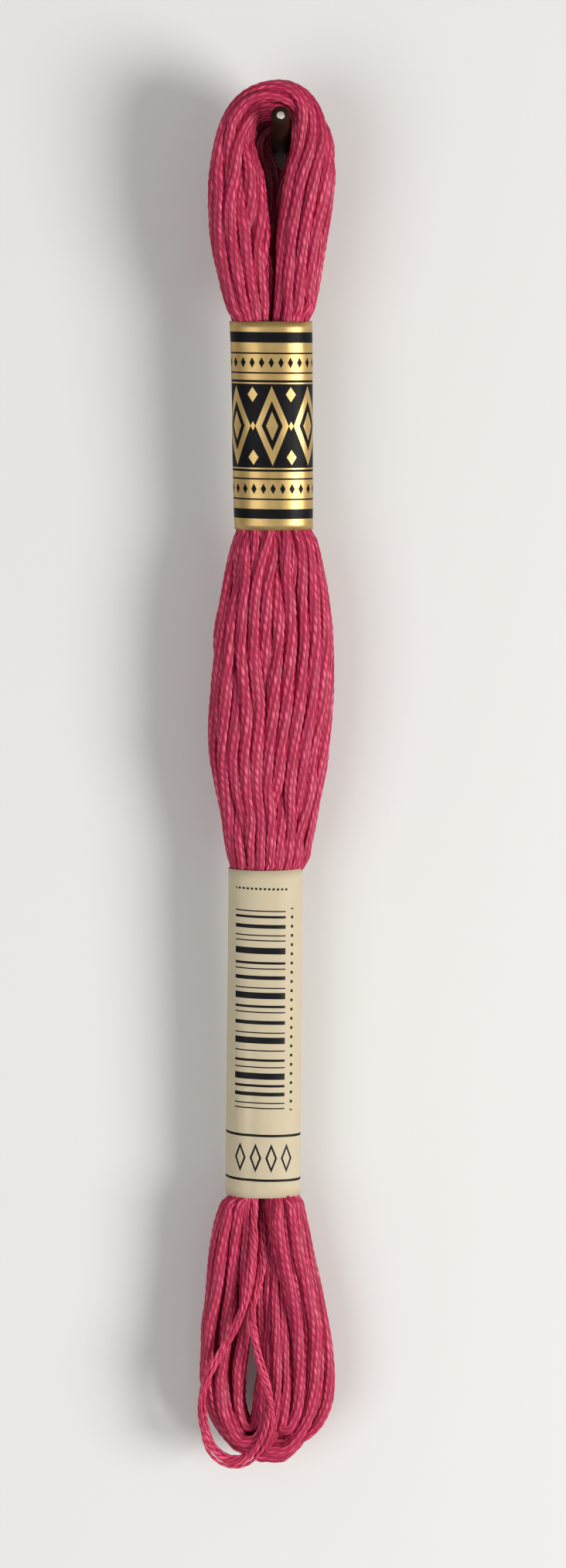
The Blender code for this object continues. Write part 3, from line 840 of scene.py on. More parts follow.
def out_of_the_dark(points):
    """The painted shade: 1 where light reaches a place well, and less behind the loop's opening, close
    to the nail.
    """
    x, y = points[:, 0], points[:, 1]
    z = points[:, 2] - DATUM_ABOVE_ROOT
    from_nail = np.hypot(x, np.maximum(z - NAIL_AT, 0))
    near = 1 - smooth_step((from_nail - DARK_WITHIN) / DARK_EDGE)
    behind = smooth_step((y - middle_y(z) - BEHIND) / BEHIND_FADE)
    return 1 - near * behind * smooth_step((z - DARK_BELOW) / DARK_FADE)


behind_nail = np.array([[0.0, middle_y(0.0) + 2.0, DATUM_ABOVE_ROOT]])
print("light that reaches a place behind the nail:", out_of_the_dark(behind_nail))

# %% [markdown]
# ## One mesh from many runs
# A piece of floss is many runs in one mesh. Blender is quick at this when the corners, the
# faces and the maps are handed over as whole arrays. Each run gets three maps. One follows
# the thread, for its fibres, and one counts its beads. The third lays all runs side by side
# on a sheet without overlaps. Each point also keeps its height on the thread, the tone of its
# run, and its painted shade, which darkens the colour near the nail.


# %% The spool
SHEET_EDGE, SHEET_LENGTH = 0.001, 0.998
ROW_EDGE, ROW_WIDTH = 0.04, 0.92
SHEET_ROWS = {"strand": 1.0, "thread": 0.4, "core": 0.2}


class Spool:
    """Gathers the rings of many runs, and makes them into one mesh."""

    def __init__(self):
        self.corners, self.faces, self.heights, self.tones, self.painted_shades = [], [], [], [], []
        self.thread_uv, self.bead_uv, self.sheet_uv, self.caps = [], [], [], []
        self.total, self.rows = 0, 0.0

    def wind(self, points, outward, size, step=RING_STEP, kind="strand"):
        """Adds one run: its rings, its faces, its maps and its numbers."""
        ring, height, at, beads = ring_points(points, outward, size, step, kind)
        rings, count = ring.shape[:2]
        index = np.arange(rings * count).reshape(rings, count) + self.total
        after = np.roll(index, -1, axis=1)
        quads = np.stack([index[:-1], after[:-1], after[1:], index[1:]], axis=-1)
        share = np.arange(count + 1) / count
        u = np.stack([at[:-1], at[:-1], at[1:], at[1:]], axis=-1)[:, None]
        v = np.stack([share[:-1], share[1:], share[1:], share[:-1]], axis=-1)[None]
        u, v = np.broadcast_arrays(u, v)
        high = SHEET_ROWS[kind]
        self.thread_uv.append(np.stack([u, v], axis=-1).reshape(-1, 2))
        here, ahead = beads[:-1], beads[1:]
        bead_uv = np.stack([here[:, :, 0], here[:, :, 1], ahead[:, :, 1], ahead[:, :, 0]], axis=2)
        self.bead_uv.append(bead_uv.reshape(-1, 2))
        sheet_u = u / at[-1] * SHEET_LENGTH + SHEET_EDGE
        sheet_v = self.rows + high * (ROW_EDGE + ROW_WIDTH * v)
        self.sheet_uv.append(np.stack([sheet_u, sheet_v], axis=-1).reshape(-1, 2))
        self.rows += high
        self.corners.append(ring.reshape(-1, 3))
        self.heights.append(height.reshape(-1))
        self.tones.append(np.full(rings * count, random.uniform(0, 1)))
        # The painted shade of each point, which darkens the floss near the nail.
        self.painted_shades.append(out_of_the_dark(ring.reshape(-1, 3)))
        self.faces.append(quads.reshape(-1, 4))
        self.caps.append((index[0][::-1], index[-1]))
        self.total += rings * count

    def mesh(self, name):
        """Makes one mesh of all that was wound on, with a cap at each end of each run."""
        corners = np.concatenate(self.corners) * MM
        quads = np.concatenate(self.faces)
        caps = [cap for pair in self.caps for cap in pair]
        sheet = np.concatenate(self.sheet_uv)
        sheet[:, 1] /= self.rows
        made = bpy.data.meshes.new(name)
        made.vertices.add(len(corners))
        made.vertices.foreach_set("co", corners.astype(np.float32).ravel())
        order = np.concatenate([quads.ravel(), *caps]).astype(np.int32)
        sizes = np.concatenate([np.full(len(quads), 4), [len(cap) for cap in caps]])
        made.loops.add(len(order))
        made.loops.foreach_set("vertex_index", order)
        made.polygons.add(len(sizes))
        starts = np.concatenate([[0], np.cumsum(sizes)[:-1]]).astype(np.int32)
        made.polygons.foreach_set("loop_start", starts)
        made.polygons.foreach_set("use_smooth", np.ones(len(sizes), bool))
        made.update(calc_edges=True)
        spare = len(order) - len(sheet)
        maps = {
            "OFBake": sheet,
            "along_thread": np.concatenate(self.thread_uv),
            "beads": np.concatenate(self.bead_uv),
        }
        for title, places in maps.items():
            layer = made.uv_layers.new(name=title)
            filled = np.concatenate([places, np.zeros((spare, 2))])
            layer.uv.foreach_set("vector", filled.astype(np.float32).ravel())
        numbers = {"height": self.heights, "tone": self.tones, "painted_shade": self.painted_shades}
        for title, values in numbers.items():
            layer = made.attributes.new(title, "FLOAT", "POINT")
            layer.data.foreach_set("value", np.concatenate(values).astype(np.float32))
        made.validate()
        return made


print("each kind of run takes this many rows of the sheet:", SHEET_ROWS)

# %% [markdown]
# ## Inside the paper
# The paper bands squeeze the bundle. Wherever a run would come through the paper, it is drawn
# in towards the bundle's middle, and it eases out again above and below the band.


# %% Tucked in
PAPER_ROOM = 0.22
HALF_A_RUN = 0.52
TUCK_FADE = 0.7
BAND_SQUARENESS = 2.1


def tucked_in(points, size):
    """The points of a run, drawn in wherever they would come through a paper band."""
    points = points.copy()
    z = points[:, 2] - DATUM_ABOVE_ROOT
    for top, bottom, depth in BANDS.values():
        down = np.clip((top[0] - z) / (top[0] - bottom[0]), 0, 1)
        left, right = (top[side] + (bottom[side] - top[side]) * down for side in (1, 2))
        half = np.stack([(right - left) / 2, np.full(len(z), depth / 2)], axis=1)
        half -= PAPER_ROOM + size[:, None] * HALF_A_RUN * FLATTENED
        off = np.stack([points[:, 0] - (left + right) / 2, points[:, 1] - middle_y(z)], axis=1)
        share = (np.abs(off / half) ** BAND_SQUARENESS).sum(axis=1) ** (1 / BAND_SQUARENESS)
        within = np.minimum(top[0] - z, z - bottom[0])
        held = smooth_step((within + TUCK_FADE) / TUCK_FADE)
        points[:, :2] -= off * (held * (1 - 1 / np.maximum(share, 1)))[:, None]
    return points


tucked = tucked_in(left_slack, np.full(len(left_slack), SLACK_SIZE))
print(f"the left slack turn is drawn in by up to {np.abs(tucked - left_slack).max():.2f} mm")

# %% [markdown]
# ## From runs to a piece
# Only the runs near the outside of the trunk are seen, and a fine thread costs many triangles.
# So a run is made as a fine strand if it lies far enough out in its bundle for most of its
# length, and as a plain core otherwise. The loops are thin, so all their runs are fine.


# %% A piece of floss
OUTER = 0.55
MOST_OF_IT = 75
PRESSED = 0.97


def facing_front(points):
    """The way out of the skein, towards the one who looks at it, for each point."""
    return np.broadcast_to(np.array([0.0, -1.0, 0.0]), points.shape)


def bundle_runs(bundle, runs, spots, size):
    """For each run of a bundle: its points, its size and how far out in the bundle it lies."""
    share = np.abs(spots / bundle.half[:, None])
    deep = (share**SQUARENESS).sum(axis=2) ** (1 / SQUARENESS)
    out_by = np.percentile(deep, MOST_OF_IT, axis=0)
    return [(tucked_in(run, size), size, out) for run, out in zip(runs, out_by)]


def floss_piece(name, runs, make_all_fine=False):
    """Winds a list of runs, and makes them one piece."""
    spool = Spool()
    for points, size, out_by in runs:
        if make_all_fine or out_by > OUTER:
            spool.wind(points, facing_front(points), size * PRESSED)
        else:
            spool.wind(points, facing_front(points), size * PRESSED, CORE_STEP, "core")
    return finished(name, spool, len(runs))


def finished(name, spool, runs):
    """The object of a spool, riding on the model in place of the hank."""
    made = bpy.data.objects.new(name, spool.mesh(name))
    bpy.context.scene.collection.objects.link(made)
    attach(made, "root")
    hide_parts("hank")
    made.data.calc_loop_triangles()
    print(name, runs, "runs,", len(made.data.loop_triangles), "triangles")
    return made


# %% [markdown]
# Now every run gets its place in a piece. The trunk is split into a front and a back piece, so
# that neither mesh grows too large. The turns that hug the nail join the rear of the loop.

# %% The floss pieces
ON_TOP = 1.0
trunk_paths = list(np.swapaxes(middle.places(middle_spots), 0, 1) / MM)
upper_front_made = bundle_runs(upper_front, front_runs, front_spots, front_size)
upper_rear_made = bundle_runs(upper_rear, rear_runs[:OVER_NAIL_REAR], rear_spots, rear_size)
for run, size in zip(rear_runs[OVER_NAIL_REAR:], hugging_sizes):
    upper_rear_made.append((tucked_in(run, size), size, ON_TOP))
trunk_made = bundle_runs(middle, trunk_paths, middle_spots, middle_size)
left_made = bundle_runs(left_loop, left_runs, left_spots, left_size)
right_made = bundle_runs(right_loop, right_runs, right_spots, right_size)


def front_first(runs):
    """The runs in order, from the front of the skein to its back."""
    return sorted(runs, key=lambda run: run[0][:, 1].mean())


trunk_sorted = front_first(trunk_made)
floss = [
    floss_piece("upper_loop_front_turns", upper_front_made, True),
    floss_piece("upper_loop_back_turns", upper_rear_made, True),
    floss_piece("middle_front_runs", trunk_sorted[: IN_TRUNK // 2]),
    floss_piece("middle_back_runs", trunk_sorted[IN_TRUNK // 2 :]),
    floss_piece("left_lower_loop", left_made, True),
    floss_piece("right_lower_loop", right_made, True),
]

# %% [markdown]
# ## The slack turn's six threads
# The slack turn on the left is made of its six fine threads, each with its two plies, because
# they have come apart enough to be seen. The lowest one has slipped out a little.

# %% Slack turns
FINE_THREAD = 0.41
FINE_PLACES = np.array(
    [(-0.29, 0.2), (0.0, 0.23), (0.29, 0.18), (-0.28, -0.2), (0.02, -0.22), (0.28, -0.2)]
)
FINE_STEP = 0.16
SLACK_TWIST = 26.0
SLACK_DEPTH = 0.8
SLIPPED, SLIP, SLIP_REACH = 4, 0.52, 4.5
LOOSENED = 0.08
WAVE, SLOWEST_WAVE, FASTEST_WAVE, FIRST_WAVE = 0.05, 0.5, 0.9, 6
SLACK_ROOM, RIGHT_SLACK_SIZE = 1.2, 1.0


def six_threads(spool, points):
    """Winds the six fine threads of a turn, one of which has slipped out at the bottom."""
    along = lengths_along(points)
    ahead = unit(np.gradient(points, along, axis=0))
    flat_out = points - points.mean(axis=0)
    flat_out[:, 1] = 0
    side = unit(flat_out - (flat_out * ahead).sum(axis=1, keepdims=True) * ahead)
    front = np.cross(side, ahead)
    slip = np.exp(-(((points[:, 2] - points[:, 2].min()) / SLIP_REACH) ** 2))
    loosened = 1 + LOOSENED * slip
    for i, (across, towards) in enumerate(FINE_PLACES):
        turned = 2 * math.pi * along / SLACK_TWIST
        pace = random.uniform(SLOWEST_WAVE, FASTEST_WAVE)
        wave = WAVE * np.sin(along * pace + random.uniform(0, FIRST_WAVE))
        x = (across * np.cos(turned) - towards * np.sin(turned)) * loosened + wave
        y = (across * np.sin(turned) + towards * np.cos(turned)) * SLACK_DEPTH
        if i == SLIPPED:
            x = x * (1 - slip) + slip * (FINE_PLACES[:, 0].max() + SLIP)
            y = y * (1 - slip)
        path = points + x[:, None] * side + y[:, None] * front
        spool.wind(path, side, np.full(len(path), FINE_THREAD), FINE_STEP, "thread")


left_slack = tucked_in(left_slack, np.full(len(left_slack), SLACK_ROOM))
right_slack = tucked_in(right_slack, np.full(len(right_slack), SLACK_ROOM))
right_size = np.full(len(right_slack), RIGHT_SLACK_SIZE)
slack_spool = Spool()
six_threads(slack_spool, left_slack)
slack_spool.wind(right_slack, facing_front(right_slack), right_size)
floss.append(finished("slack_turns", slack_spool, 2))

# %% [markdown]
# ## Mercerised cotton
# Embroidery cotton is treated so that it shines. The shader paints a soft pale highlight on
# top of each bead, and painted shade in a dark crimson deep between the threads. It takes its
# colour from how high a point stands on the thread, varies it a little from thread to thread,
# and adds fine fibres that follow the thread. A few helpers keep such node trees short to write.


# %% Helpers for shader nodes
def add_node(tree, kind, **values):
    """Adds a node; values are its settings, or its inputs by name with _ for a space."""
    made = tree.nodes.new(kind)
    for key, value in values.items():
        if hasattr(made, key):
            setattr(made, key, value)
        else:
            made.inputs[key.replace("_", " ")].default_value = value
    return made


def maths(tree, operation, first, second=0.0, third=0.0):
    """Adds a Math node and returns its result; each input is a number or a socket."""
    made = tree.nodes.new("ShaderNodeMath")
    made.operation = operation
    for socket, value in zip(made.inputs, (first, second, third)):
        if isinstance(value, (int, float)):
            socket.default_value = value
        else:
            tree.links.new(value, socket)
    return made.outputs[0]


def new_material(name):
    """A new material, its node tree, and its Principled shader."""
    material = bpy.data.materials.new(name)
    material.use_nodes = True
    tree = material.node_tree
    return material, tree, tree.nodes["Principled BSDF"]


def mixed(tree, share, first, second, blend="MIX"):
    """Adds a colour mix and returns its result."""
    made = tree.nodes.new("ShaderNodeMix")
    made.data_type = "RGBA"
    made.blend_type = blend
    share_at, first_at, second_at = 0, 6, 7
    for place, value in ((share_at, share), (first_at, first), (second_at, second)):
        socket = made.inputs[place]
        if isinstance(value, (int, float, tuple)):
            socket.default_value = value
        else:
            tree.links.new(value, socket)
    return made.outputs[2]


print("the node helpers are ready")

# %% [markdown]
# ## From the maps to numbers
# The bead map counts beads along a thread in its first number, and threads round the run in
# its second. The whole part of each says which bead or which thread we are on. The part after
# the point says how far we are across it, and a sine of that is 0 at both edges and 1 midway.
# White noise from the whole parts gives each bead and each thread a value of its own. The tone
# sets the runs far apart in it, so that no two runs repeat each other.

# %% Beads and threads
RUNS_APART = 97.0
floss_material, tree, shader = new_material("mercerised_cotton")
height = add_node(tree, "ShaderNodeAttribute", attribute_name="height").outputs["Fac"]
tone = add_node(tree, "ShaderNodeAttribute", attribute_name="tone").outputs["Fac"]


def map_parts(tree, name):
    """The two numbers of a map."""
    split = add_node(tree, "ShaderNodeSeparateXYZ")
    tree.links.new(add_node(tree, "ShaderNodeUVMap", uv_map=name).outputs[0], split.inputs[0])
    return split.outputs[0], split.outputs[1]


def vector_of(tree, x, y, z):
    """A vector from three sockets."""
    made = add_node(tree, "ShaderNodeCombineXYZ")
    for socket, value in zip(made.inputs, (x, y, z)):
        tree.links.new(value, socket)
    return made.outputs[0]


along, around = map_parts(tree, "along_thread")
beads, lobes = map_parts(tree, "beads")
bead, in_bead = maths(tree, "FLOOR", beads), maths(tree, "FRACT", beads)
lobe, in_lobe = maths(tree, "FLOOR", lobes), maths(tree, "FRACT", lobes)
ply = maths(tree, "SINE", maths(tree, "MULTIPLY", in_bead, math.pi))
profile = maths(tree, "SINE", maths(tree, "MULTIPLY", in_lobe, math.pi))
groove = maths(tree, "POWER", profile, 0.5)
spot = maths(tree, "MULTIPLY", maths(tree, "POWER", ply, 1.5), profile)
own = maths(tree, "MULTIPLY_ADD", tone, RUNS_APART, lobe)
by_bead = add_node(tree, "ShaderNodeTexWhiteNoise")
tree.links.new(vector_of(tree, bead, own, own), by_bead.inputs["Vector"])
by_thread = add_node(tree, "ShaderNodeTexWhiteNoise", noise_dimensions="1D")
tree.links.new(own, by_thread.inputs["W"])
print("beads and threads are read with", len(tree.nodes), "nodes")

# %% [markdown]
# ## Fibres and colour
# The fibres are a noise that is drawn out along the thread and winds round it. The colour goes
# from a dark crimson, painted shade, in the grooves to a pale one, a painted highlight, on top
# of each bead. Some threads took the dye a little differently, and a painted shade keeps the inside of
# the loop dark.

# %% Colour of the floss
# The darkest crimson is painted shade, for the grooves and the inside of the loop, and the palest is a
# painted highlight on the tops of the beads.
CRIMSON_IN_PAINTED_SHADE = (0.10, 0.0015, 0.010, 1.0)
CRIMSON = (0.38, 0.006, 0.045, 1.0)
CRIMSON_PAINTED_HIGHLIGHT = (0.82, 0.090, 0.200, 1.0)
OTHER_CRIMSON = (0.34, 0.006, 0.056, 1.0)
FIBRE_LIGHT = (0.80, 0.11, 0.20, 1.0)
fibre_place = vector_of(
    tree,
    maths(tree, "MULTIPLY", along, 1.3),
    maths(tree, "MULTIPLY_ADD", around, 60.0, maths(tree, "MULTIPLY", along, 9.0)),
    maths(tree, "MULTIPLY", tone, 90.0),
)
fibres = add_node(tree, "ShaderNodeTexNoise", Scale=1.0, Detail=3.0, Roughness=0.6)
tree.links.new(fibre_place, fibres.inputs["Vector"])
ramp = add_node(tree, "ShaderNodeValToRGB")
ramp.color_ramp.elements[0].position, ramp.color_ramp.elements[0].color = 0.05, CRIMSON_IN_PAINTED_SHADE
ramp.color_ramp.elements[1].position, ramp.color_ramp.elements[1].color = 0.95, CRIMSON_PAINTED_HIGHLIGHT
ramp.color_ramp.elements.new(0.45).color = CRIMSON
# Painted shade and highlight: darker in the grooves and low on the thread, lighter in the middle of
# each bead, by a random amount per bead.
painted_light_level = maths(tree, "MULTIPLY_ADD", groove, 0.28, maths(tree, "MULTIPLY", height, 0.14))
painted_highlight_strength = maths(tree, "POWER", by_bead.outputs["Value"], 1.5)
painted_highlight_strength = maths(tree, "MULTIPLY_ADD", painted_highlight_strength, 0.62, 0.12)
painted_light_level = maths(tree, "MULTIPLY_ADD", spot, painted_highlight_strength, painted_light_level)
tree.links.new(painted_light_level, ramp.inputs[0])
other_dye = maths(tree, "MULTIPLY", by_thread.outputs["Value"], 0.45)
coloured = mixed(tree, other_dye, ramp.outputs[0], OTHER_CRIMSON)
lit_fibre = maths(tree, "MULTIPLY", fibres.outputs[0], 0.10)
coloured = mixed(tree, lit_fibre, coloured, FIBRE_LIGHT)
# Painted shade: near the nail and behind the loop's opening, the colour is drawn towards the darkest
# crimson.
painted_shade = add_node(tree, "ShaderNodeAttribute", attribute_name="painted_shade").outputs["Fac"]
coloured = mixed(tree, maths(tree, "MULTIPLY_ADD", painted_shade, 0.75, 0.25), CRIMSON_IN_PAINTED_SHADE, coloured)
tree.links.new(coloured, shader.inputs["Base Color"])
print("the colour of the floss takes it to", len(tree.nodes), "nodes")

# %% [markdown]
# ## Gloss and relief
# A cotton fibre shines softly, and a little more on top of a bead, where it lies flat. The
# gloss is tinted, because light also passes through the dyed fibre on its way out. Two bumps
# give the relief that is too fine for the mesh: one for the plies and one for the fibres.

# %% Gloss and relief of the floss
rough = maths(tree, "MULTIPLY_ADD", fibres.outputs[0], 0.16, 0.46)
rough = maths(tree, "MULTIPLY_ADD", spot, -0.2, rough)
tree.links.new(rough, shader.inputs["Roughness"])
shader.inputs["IOR"].default_value = 1.42
shader.inputs["Specular Tint"].default_value = (1.0, 0.84, 0.90, 1.0)
shader.inputs["Sheen Weight"].default_value = 0.08
shader.inputs["Sheen Roughness"].default_value = 0.4
shader.inputs["Sheen Tint"].default_value = (1.0, 0.55, 0.66, 1.0)
plies_bump = add_node(tree, "ShaderNodeBump", Strength=0.55, Distance=0.00008)
ply_height = maths(tree, "MULTIPLY_ADD", spot, 0.55, maths(tree, "MULTIPLY", groove, 0.5))
tree.links.new(ply_height, plies_bump.inputs["Height"])
fibre_bump = add_node(tree, "ShaderNodeBump", Strength=0.35, Distance=0.00004)
tree.links.new(fibres.outputs[0], fibre_bump.inputs["Height"])
tree.links.new(plies_bump.outputs[0], fibre_bump.inputs["Normal"])
tree.links.new(fibre_bump.outputs[0], shader.inputs["Normal"])
for piece in floss:
    piece.data.materials.append(floss_material)
print(floss_material.name, "has", len(tree.nodes), "nodes")

# %% [markdown]
# ## The paper bands
# Each band is one strip of thin paper. It goes once round the bundle, and its end is glued
# over its start at the back. The runs under it press through as faint ridges. The print is
# laid out in millimetres on the strip: across from the middle of the front, and down from the
# top edge.

# %% Round the bundle
OVAL_POINTS = 721
LOOK_ASIDE = 0.15


def round_oval(width, depth, shares):
    """Points round a squarish oval from its back, the way out at each, and its length."""
    angle = np.linspace(0, 2 * math.pi, OVAL_POINTS)
    power = 2 / BAND_SQUARENESS
    x = -np.sign(np.sin(angle)) * np.abs(np.sin(angle)) ** power * width / 2
    y = np.sign(np.cos(angle)) * np.abs(np.cos(angle)) ** power * depth / 2
    along = np.concatenate([[0], np.cumsum(np.hypot(np.diff(x), np.diff(y)))])
    at = (shares % 1.0) * along[-1]
    sides = (-LOOK_ASIDE, LOOK_ASIDE)
    run = [np.interp(at + aside, along, x, period=along[-1]) for aside in sides]
    rise = [np.interp(at + aside, along, y, period=along[-1]) for aside in sides]
    out = unit(np.stack([rise[1] - rise[0], run[0] - run[1]], axis=1))
    return np.stack([np.interp(at, along, x), np.interp(at, along, y)], axis=1), out, along[-1]


print(f"once round an oval of 9 x 6 mm is {round_oval(9.0, 6.0, np.zeros(1))[2]:.1f} mm")

# %% [markdown]
# ## A strip of paper
# The strip is made row by row from its top to its bottom. Its start lies a little deeper, under
# its glued end. The ridges come from random heights that are read smoothly in both directions,
# and they die out towards the two edges, where the paper is straight.


# %% The strips
PAPER = 0.12
PAPER_ROWS, PAPER_COLUMNS = 32, 192
TUCK, TUCK_SLOPE, GLUE = 0.055, 0.03, 0.02
STRIP_INSET = 0.05
STRIP_TILT = 0.05
RIDGE, LOWEST_RIDGE, HIGHEST_RIDGE = 0.05, -0.06, 0.04
RIDGE_EVERY_COLUMN, RIDGE_EVERY_ROW = 9.0, 12.0
STRAIGHT_EDGE = 2.0
FACE_HEIGHT, FACE_EDGE, EDGES_SMALL = 0.46, 0.01, 0.01


def paper_strip(name, node):
    """A strip of paper round the bundle, with its print laid out in millimetres."""
    (top, top_left, top_right), (bottom, bottom_left, bottom_right), depth = BANDS[node]
    shares = np.linspace(0, 1 + TUCK, PAPER_COLUMNS + 1)
    under = 1 - smooth_step((shares - TUCK) / TUCK_SLOPE)
    ridge_columns = np.arange(-1, len(shares) + RIDGE_EVERY_ROW, RIDGE_EVERY_COLUMN)
    ridge_rows = np.arange(0, PAPER_ROWS + 2 * RIDGE_EVERY_ROW, RIDGE_EVERY_ROW)
    ridge_heights = even_bend(
        ridge_rows,
        random.normal(0, 1, (len(ridge_rows), len(ridge_columns))),
        np.arange(PAPER_ROWS + 1, dtype=float),
    )
    sheets, print_places = [], []
    for row in range(PAPER_ROWS + 1):
        down = row / PAPER_ROWS
        z = top + (bottom - top) * down
        left = top_left + (bottom_left - top_left) * down
        right = top_right + (bottom_right - top_right) * down
        places, out, length = round_oval(right - left, depth, shares)
        ridge = np.interp(np.arange(len(shares)), ridge_columns, ridge_heights[row]) * RIDGE
        from_edge = min(down, 1 - down) * (top - bottom)
        ridge = ridge.clip(LOWEST_RIDGE, HIGHEST_RIDGE) * min(from_edge / STRAIGHT_EDGE, 1)
        offset = -STRIP_INSET - under * (PAPER + GLUE) + ridge
        layers = []
        for inwards in (0.0, PAPER):
            spot = places + out * (offset - inwards)[:, None]
            x = (left + right) / 2 + spot[:, 0]
            layers.append(row_points(x, middle_y(z) + spot[:, 1], z + STRIP_TILT * spot[:, 1]))
        sheets.append(layers)
        print_row = [(shares - 0.5) * length, np.full(len(shares), top - z)]
        print_places.append(np.stack(print_row, axis=1))
    return strip_object(name, node, np.array(sheets), np.array(print_places))


def strip_object(name, node, sheets, print_places):
    """Makes the strip's outside, its inside and its four edges, and its maps."""
    rows, _, columns, _ = sheets.shape
    index = np.arange(sheets.size // 3).reshape(rows, 2, columns)
    faces, corners = [], []
    spot = np.stack(np.meshgrid(np.arange(rows), np.arange(columns), indexing="ij"), axis=-1)

    def four_corners(grid):
        return np.stack([grid[:-1, :-1], grid[1:, :-1], grid[1:, 1:], grid[:-1, 1:]], axis=2)

    def add(grid, cells):
        faces.append(four_corners(grid).reshape(-1, 4))
        corners.append(four_corners(cells).reshape(-1, 2))

    add(index[:, 0], spot)
    add(index[:, 1, ::-1], spot[:, ::-1])
    add(index[0, ::-1], np.stack([spot[0], spot[0]]))
    add(index[-1], np.stack([spot[-1], spot[-1]]))
    add(index[:, ::-1, 0], np.stack([spot[:, 0], spot[:, 0]], axis=1))
    add(index[:, :, -1], np.stack([spot[:, -1], spot[:, -1]], axis=1))
    one_side = (rows - 1) * (columns - 1)
    faces, corners = np.concatenate(faces), np.concatenate(corners)
    made = bpy.data.meshes.new(name)
    made.from_pydata(sheets.reshape(-1, 3).tolist(), [], faces.tolist())
    made.shade_smooth()
    places = print_places[corners[:, 0], corners[:, 1]]
    sheet = corners / [rows - 1, columns - 1]
    sheet = np.stack([sheet[:, 1], sheet[:, 0] * FACE_HEIGHT + FACE_EDGE], axis=1)
    face_of = np.arange(len(sheet)) // 4
    sheet[face_of >= one_side, 1] += 0.5
    sheet[face_of >= 2 * one_side] *= EDGES_SMALL
    inked = np.where(face_of < one_side, 1.0, 0.0)
    for title, values in (("OFBake", sheet), ("print", places)):
        layer = made.uv_layers.new(name=title)
        layer.uv.foreach_set("vector", values.astype(np.float32).ravel())
    layer = made.attributes.new("inked", "FLOAT", "CORNER")
    layer.data.foreach_set("value", inked.astype(np.float32))
    strip = bpy.data.objects.new(name, made)
    bpy.context.scene.collection.objects.link(strip)
    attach(strip, "root")
    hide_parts(node)
    print(name, len(faces), "faces,", f"{np.ptp(print_places[0, :, 0]):.1f} mm long strip")
    return strip


upper_paper = paper_strip("upper_paper_strip", "upper_band")
lower_paper = paper_strip("lower_paper_strip", "lower_band")

# %% [markdown]
# ## Printing
# A print is a stencil: 1 where the dark ink lies and 0 elsewhere. Stripes are spans of the
# height, lozenges are where the distance across and the distance down add up to less than a
# limit, and rows of them repeat across the strip. A paper group gives both papers the same
# fine grain and the same wear.


# %% Stencil helpers
def paper_grain():
    """A node group: the grain of the paper and its wear, from a place in millimetres."""
    group = bpy.data.node_groups.new("paper_grain", "ShaderNodeTree")
    group.interface.new_socket("Place", in_out="INPUT", socket_type="NodeSocketVector")
    for title in ("Grain", "Wear"):
        group.interface.new_socket(title, in_out="OUTPUT", socket_type="NodeSocketFloat")
    start, end = group.nodes.new("NodeGroupInput"), group.nodes.new("NodeGroupOutput")
    fine = add_node(group, "ShaderNodeTexNoise", Scale=5.5, Detail=5.0, Roughness=0.65)
    broad = add_node(group, "ShaderNodeTexNoise", Scale=0.32, Detail=4.0, Roughness=0.6)
    for noise in (fine, broad):
        group.links.new(start.outputs[0], noise.inputs["Vector"])
    group.links.new(fine.outputs[0], end.inputs[0])
    group.links.new(broad.outputs[0], end.inputs[1])
    return group


def print_spots(tree, askew):
    """The place on the strip: its vector, how far across, and how far down a print that is askew."""
    place = add_node(tree, "ShaderNodeUVMap", uv_map="print").outputs[0]
    split = add_node(tree, "ShaderNodeSeparateXYZ")
    tree.links.new(place, split.inputs[0])
    down = maths(tree, "MULTIPLY_ADD", split.outputs[0], -askew, split.outputs[1])
    return place, split.outputs[0], down


def either_of(tree, *stencils):
    """1 wherever one of several stencils is 1."""
    joined = stencils[0]
    for stencil in stencils[1:]:
        joined = maths(tree, "MAXIMUM", joined, stencil)
    return joined


def span(tree, value, low, high):
    """1 where the value lies between two limits."""
    return maths(tree, "COMPARE", value, (low + high) / 2, (high - low) / 2)


def stripes(tree, down, length, edges):
    """1 on the stripes of a list of (start, thickness), read from one colour ramp."""
    ramp = add_node(tree, "ShaderNodeValToRGB")
    ramp.color_ramp.interpolation = "CONSTANT"
    stops = ramp.color_ramp.elements
    stops[0].position, stops[0].color = 0.0, (0, 0, 0, 1)
    stops.remove(stops[1])
    for start, thickness in edges:
        stops.new(start / length).color = (1, 1, 1, 1)
        stops.new((start + thickness) / length).color = (0, 0, 0, 1)
    tree.links.new(maths(tree, "DIVIDE", down, length), ramp.inputs[0])
    return ramp.outputs[0]


def lozenge(tree, across, down, middle, half_width, half_height):
    """1 inside a lozenge round a height, for a distance across that is already folded."""
    far = maths(tree, "ABSOLUTE", maths(tree, "SUBTRACT", down, middle))
    far = maths(tree, "DIVIDE", far, half_height)
    return maths(tree, "LESS_THAN", maths(tree, "MULTIPLY_ADD", across, 1 / half_width, far), 1.0)


def folded(tree, across, pitch, start=0.0):
    """The distance across from the nearest of a row of motifs."""
    shifted = maths(tree, "ADD", across, pitch * 40 - start)
    return maths(tree, "PINGPONG", shifted, pitch / 2)


paper_group = paper_grain()
print("the paper grain gives", [socket.name for socket in paper_group.interface.items_tree])

# %% [markdown]
# The upper band is black ink on gold foil: rims and stripes at both ends, and a black panel
# with a row of gold lozenges and small diamonds. The gold is metal, so it mirrors the lamps in
# upright streaks where the strip is ridged.

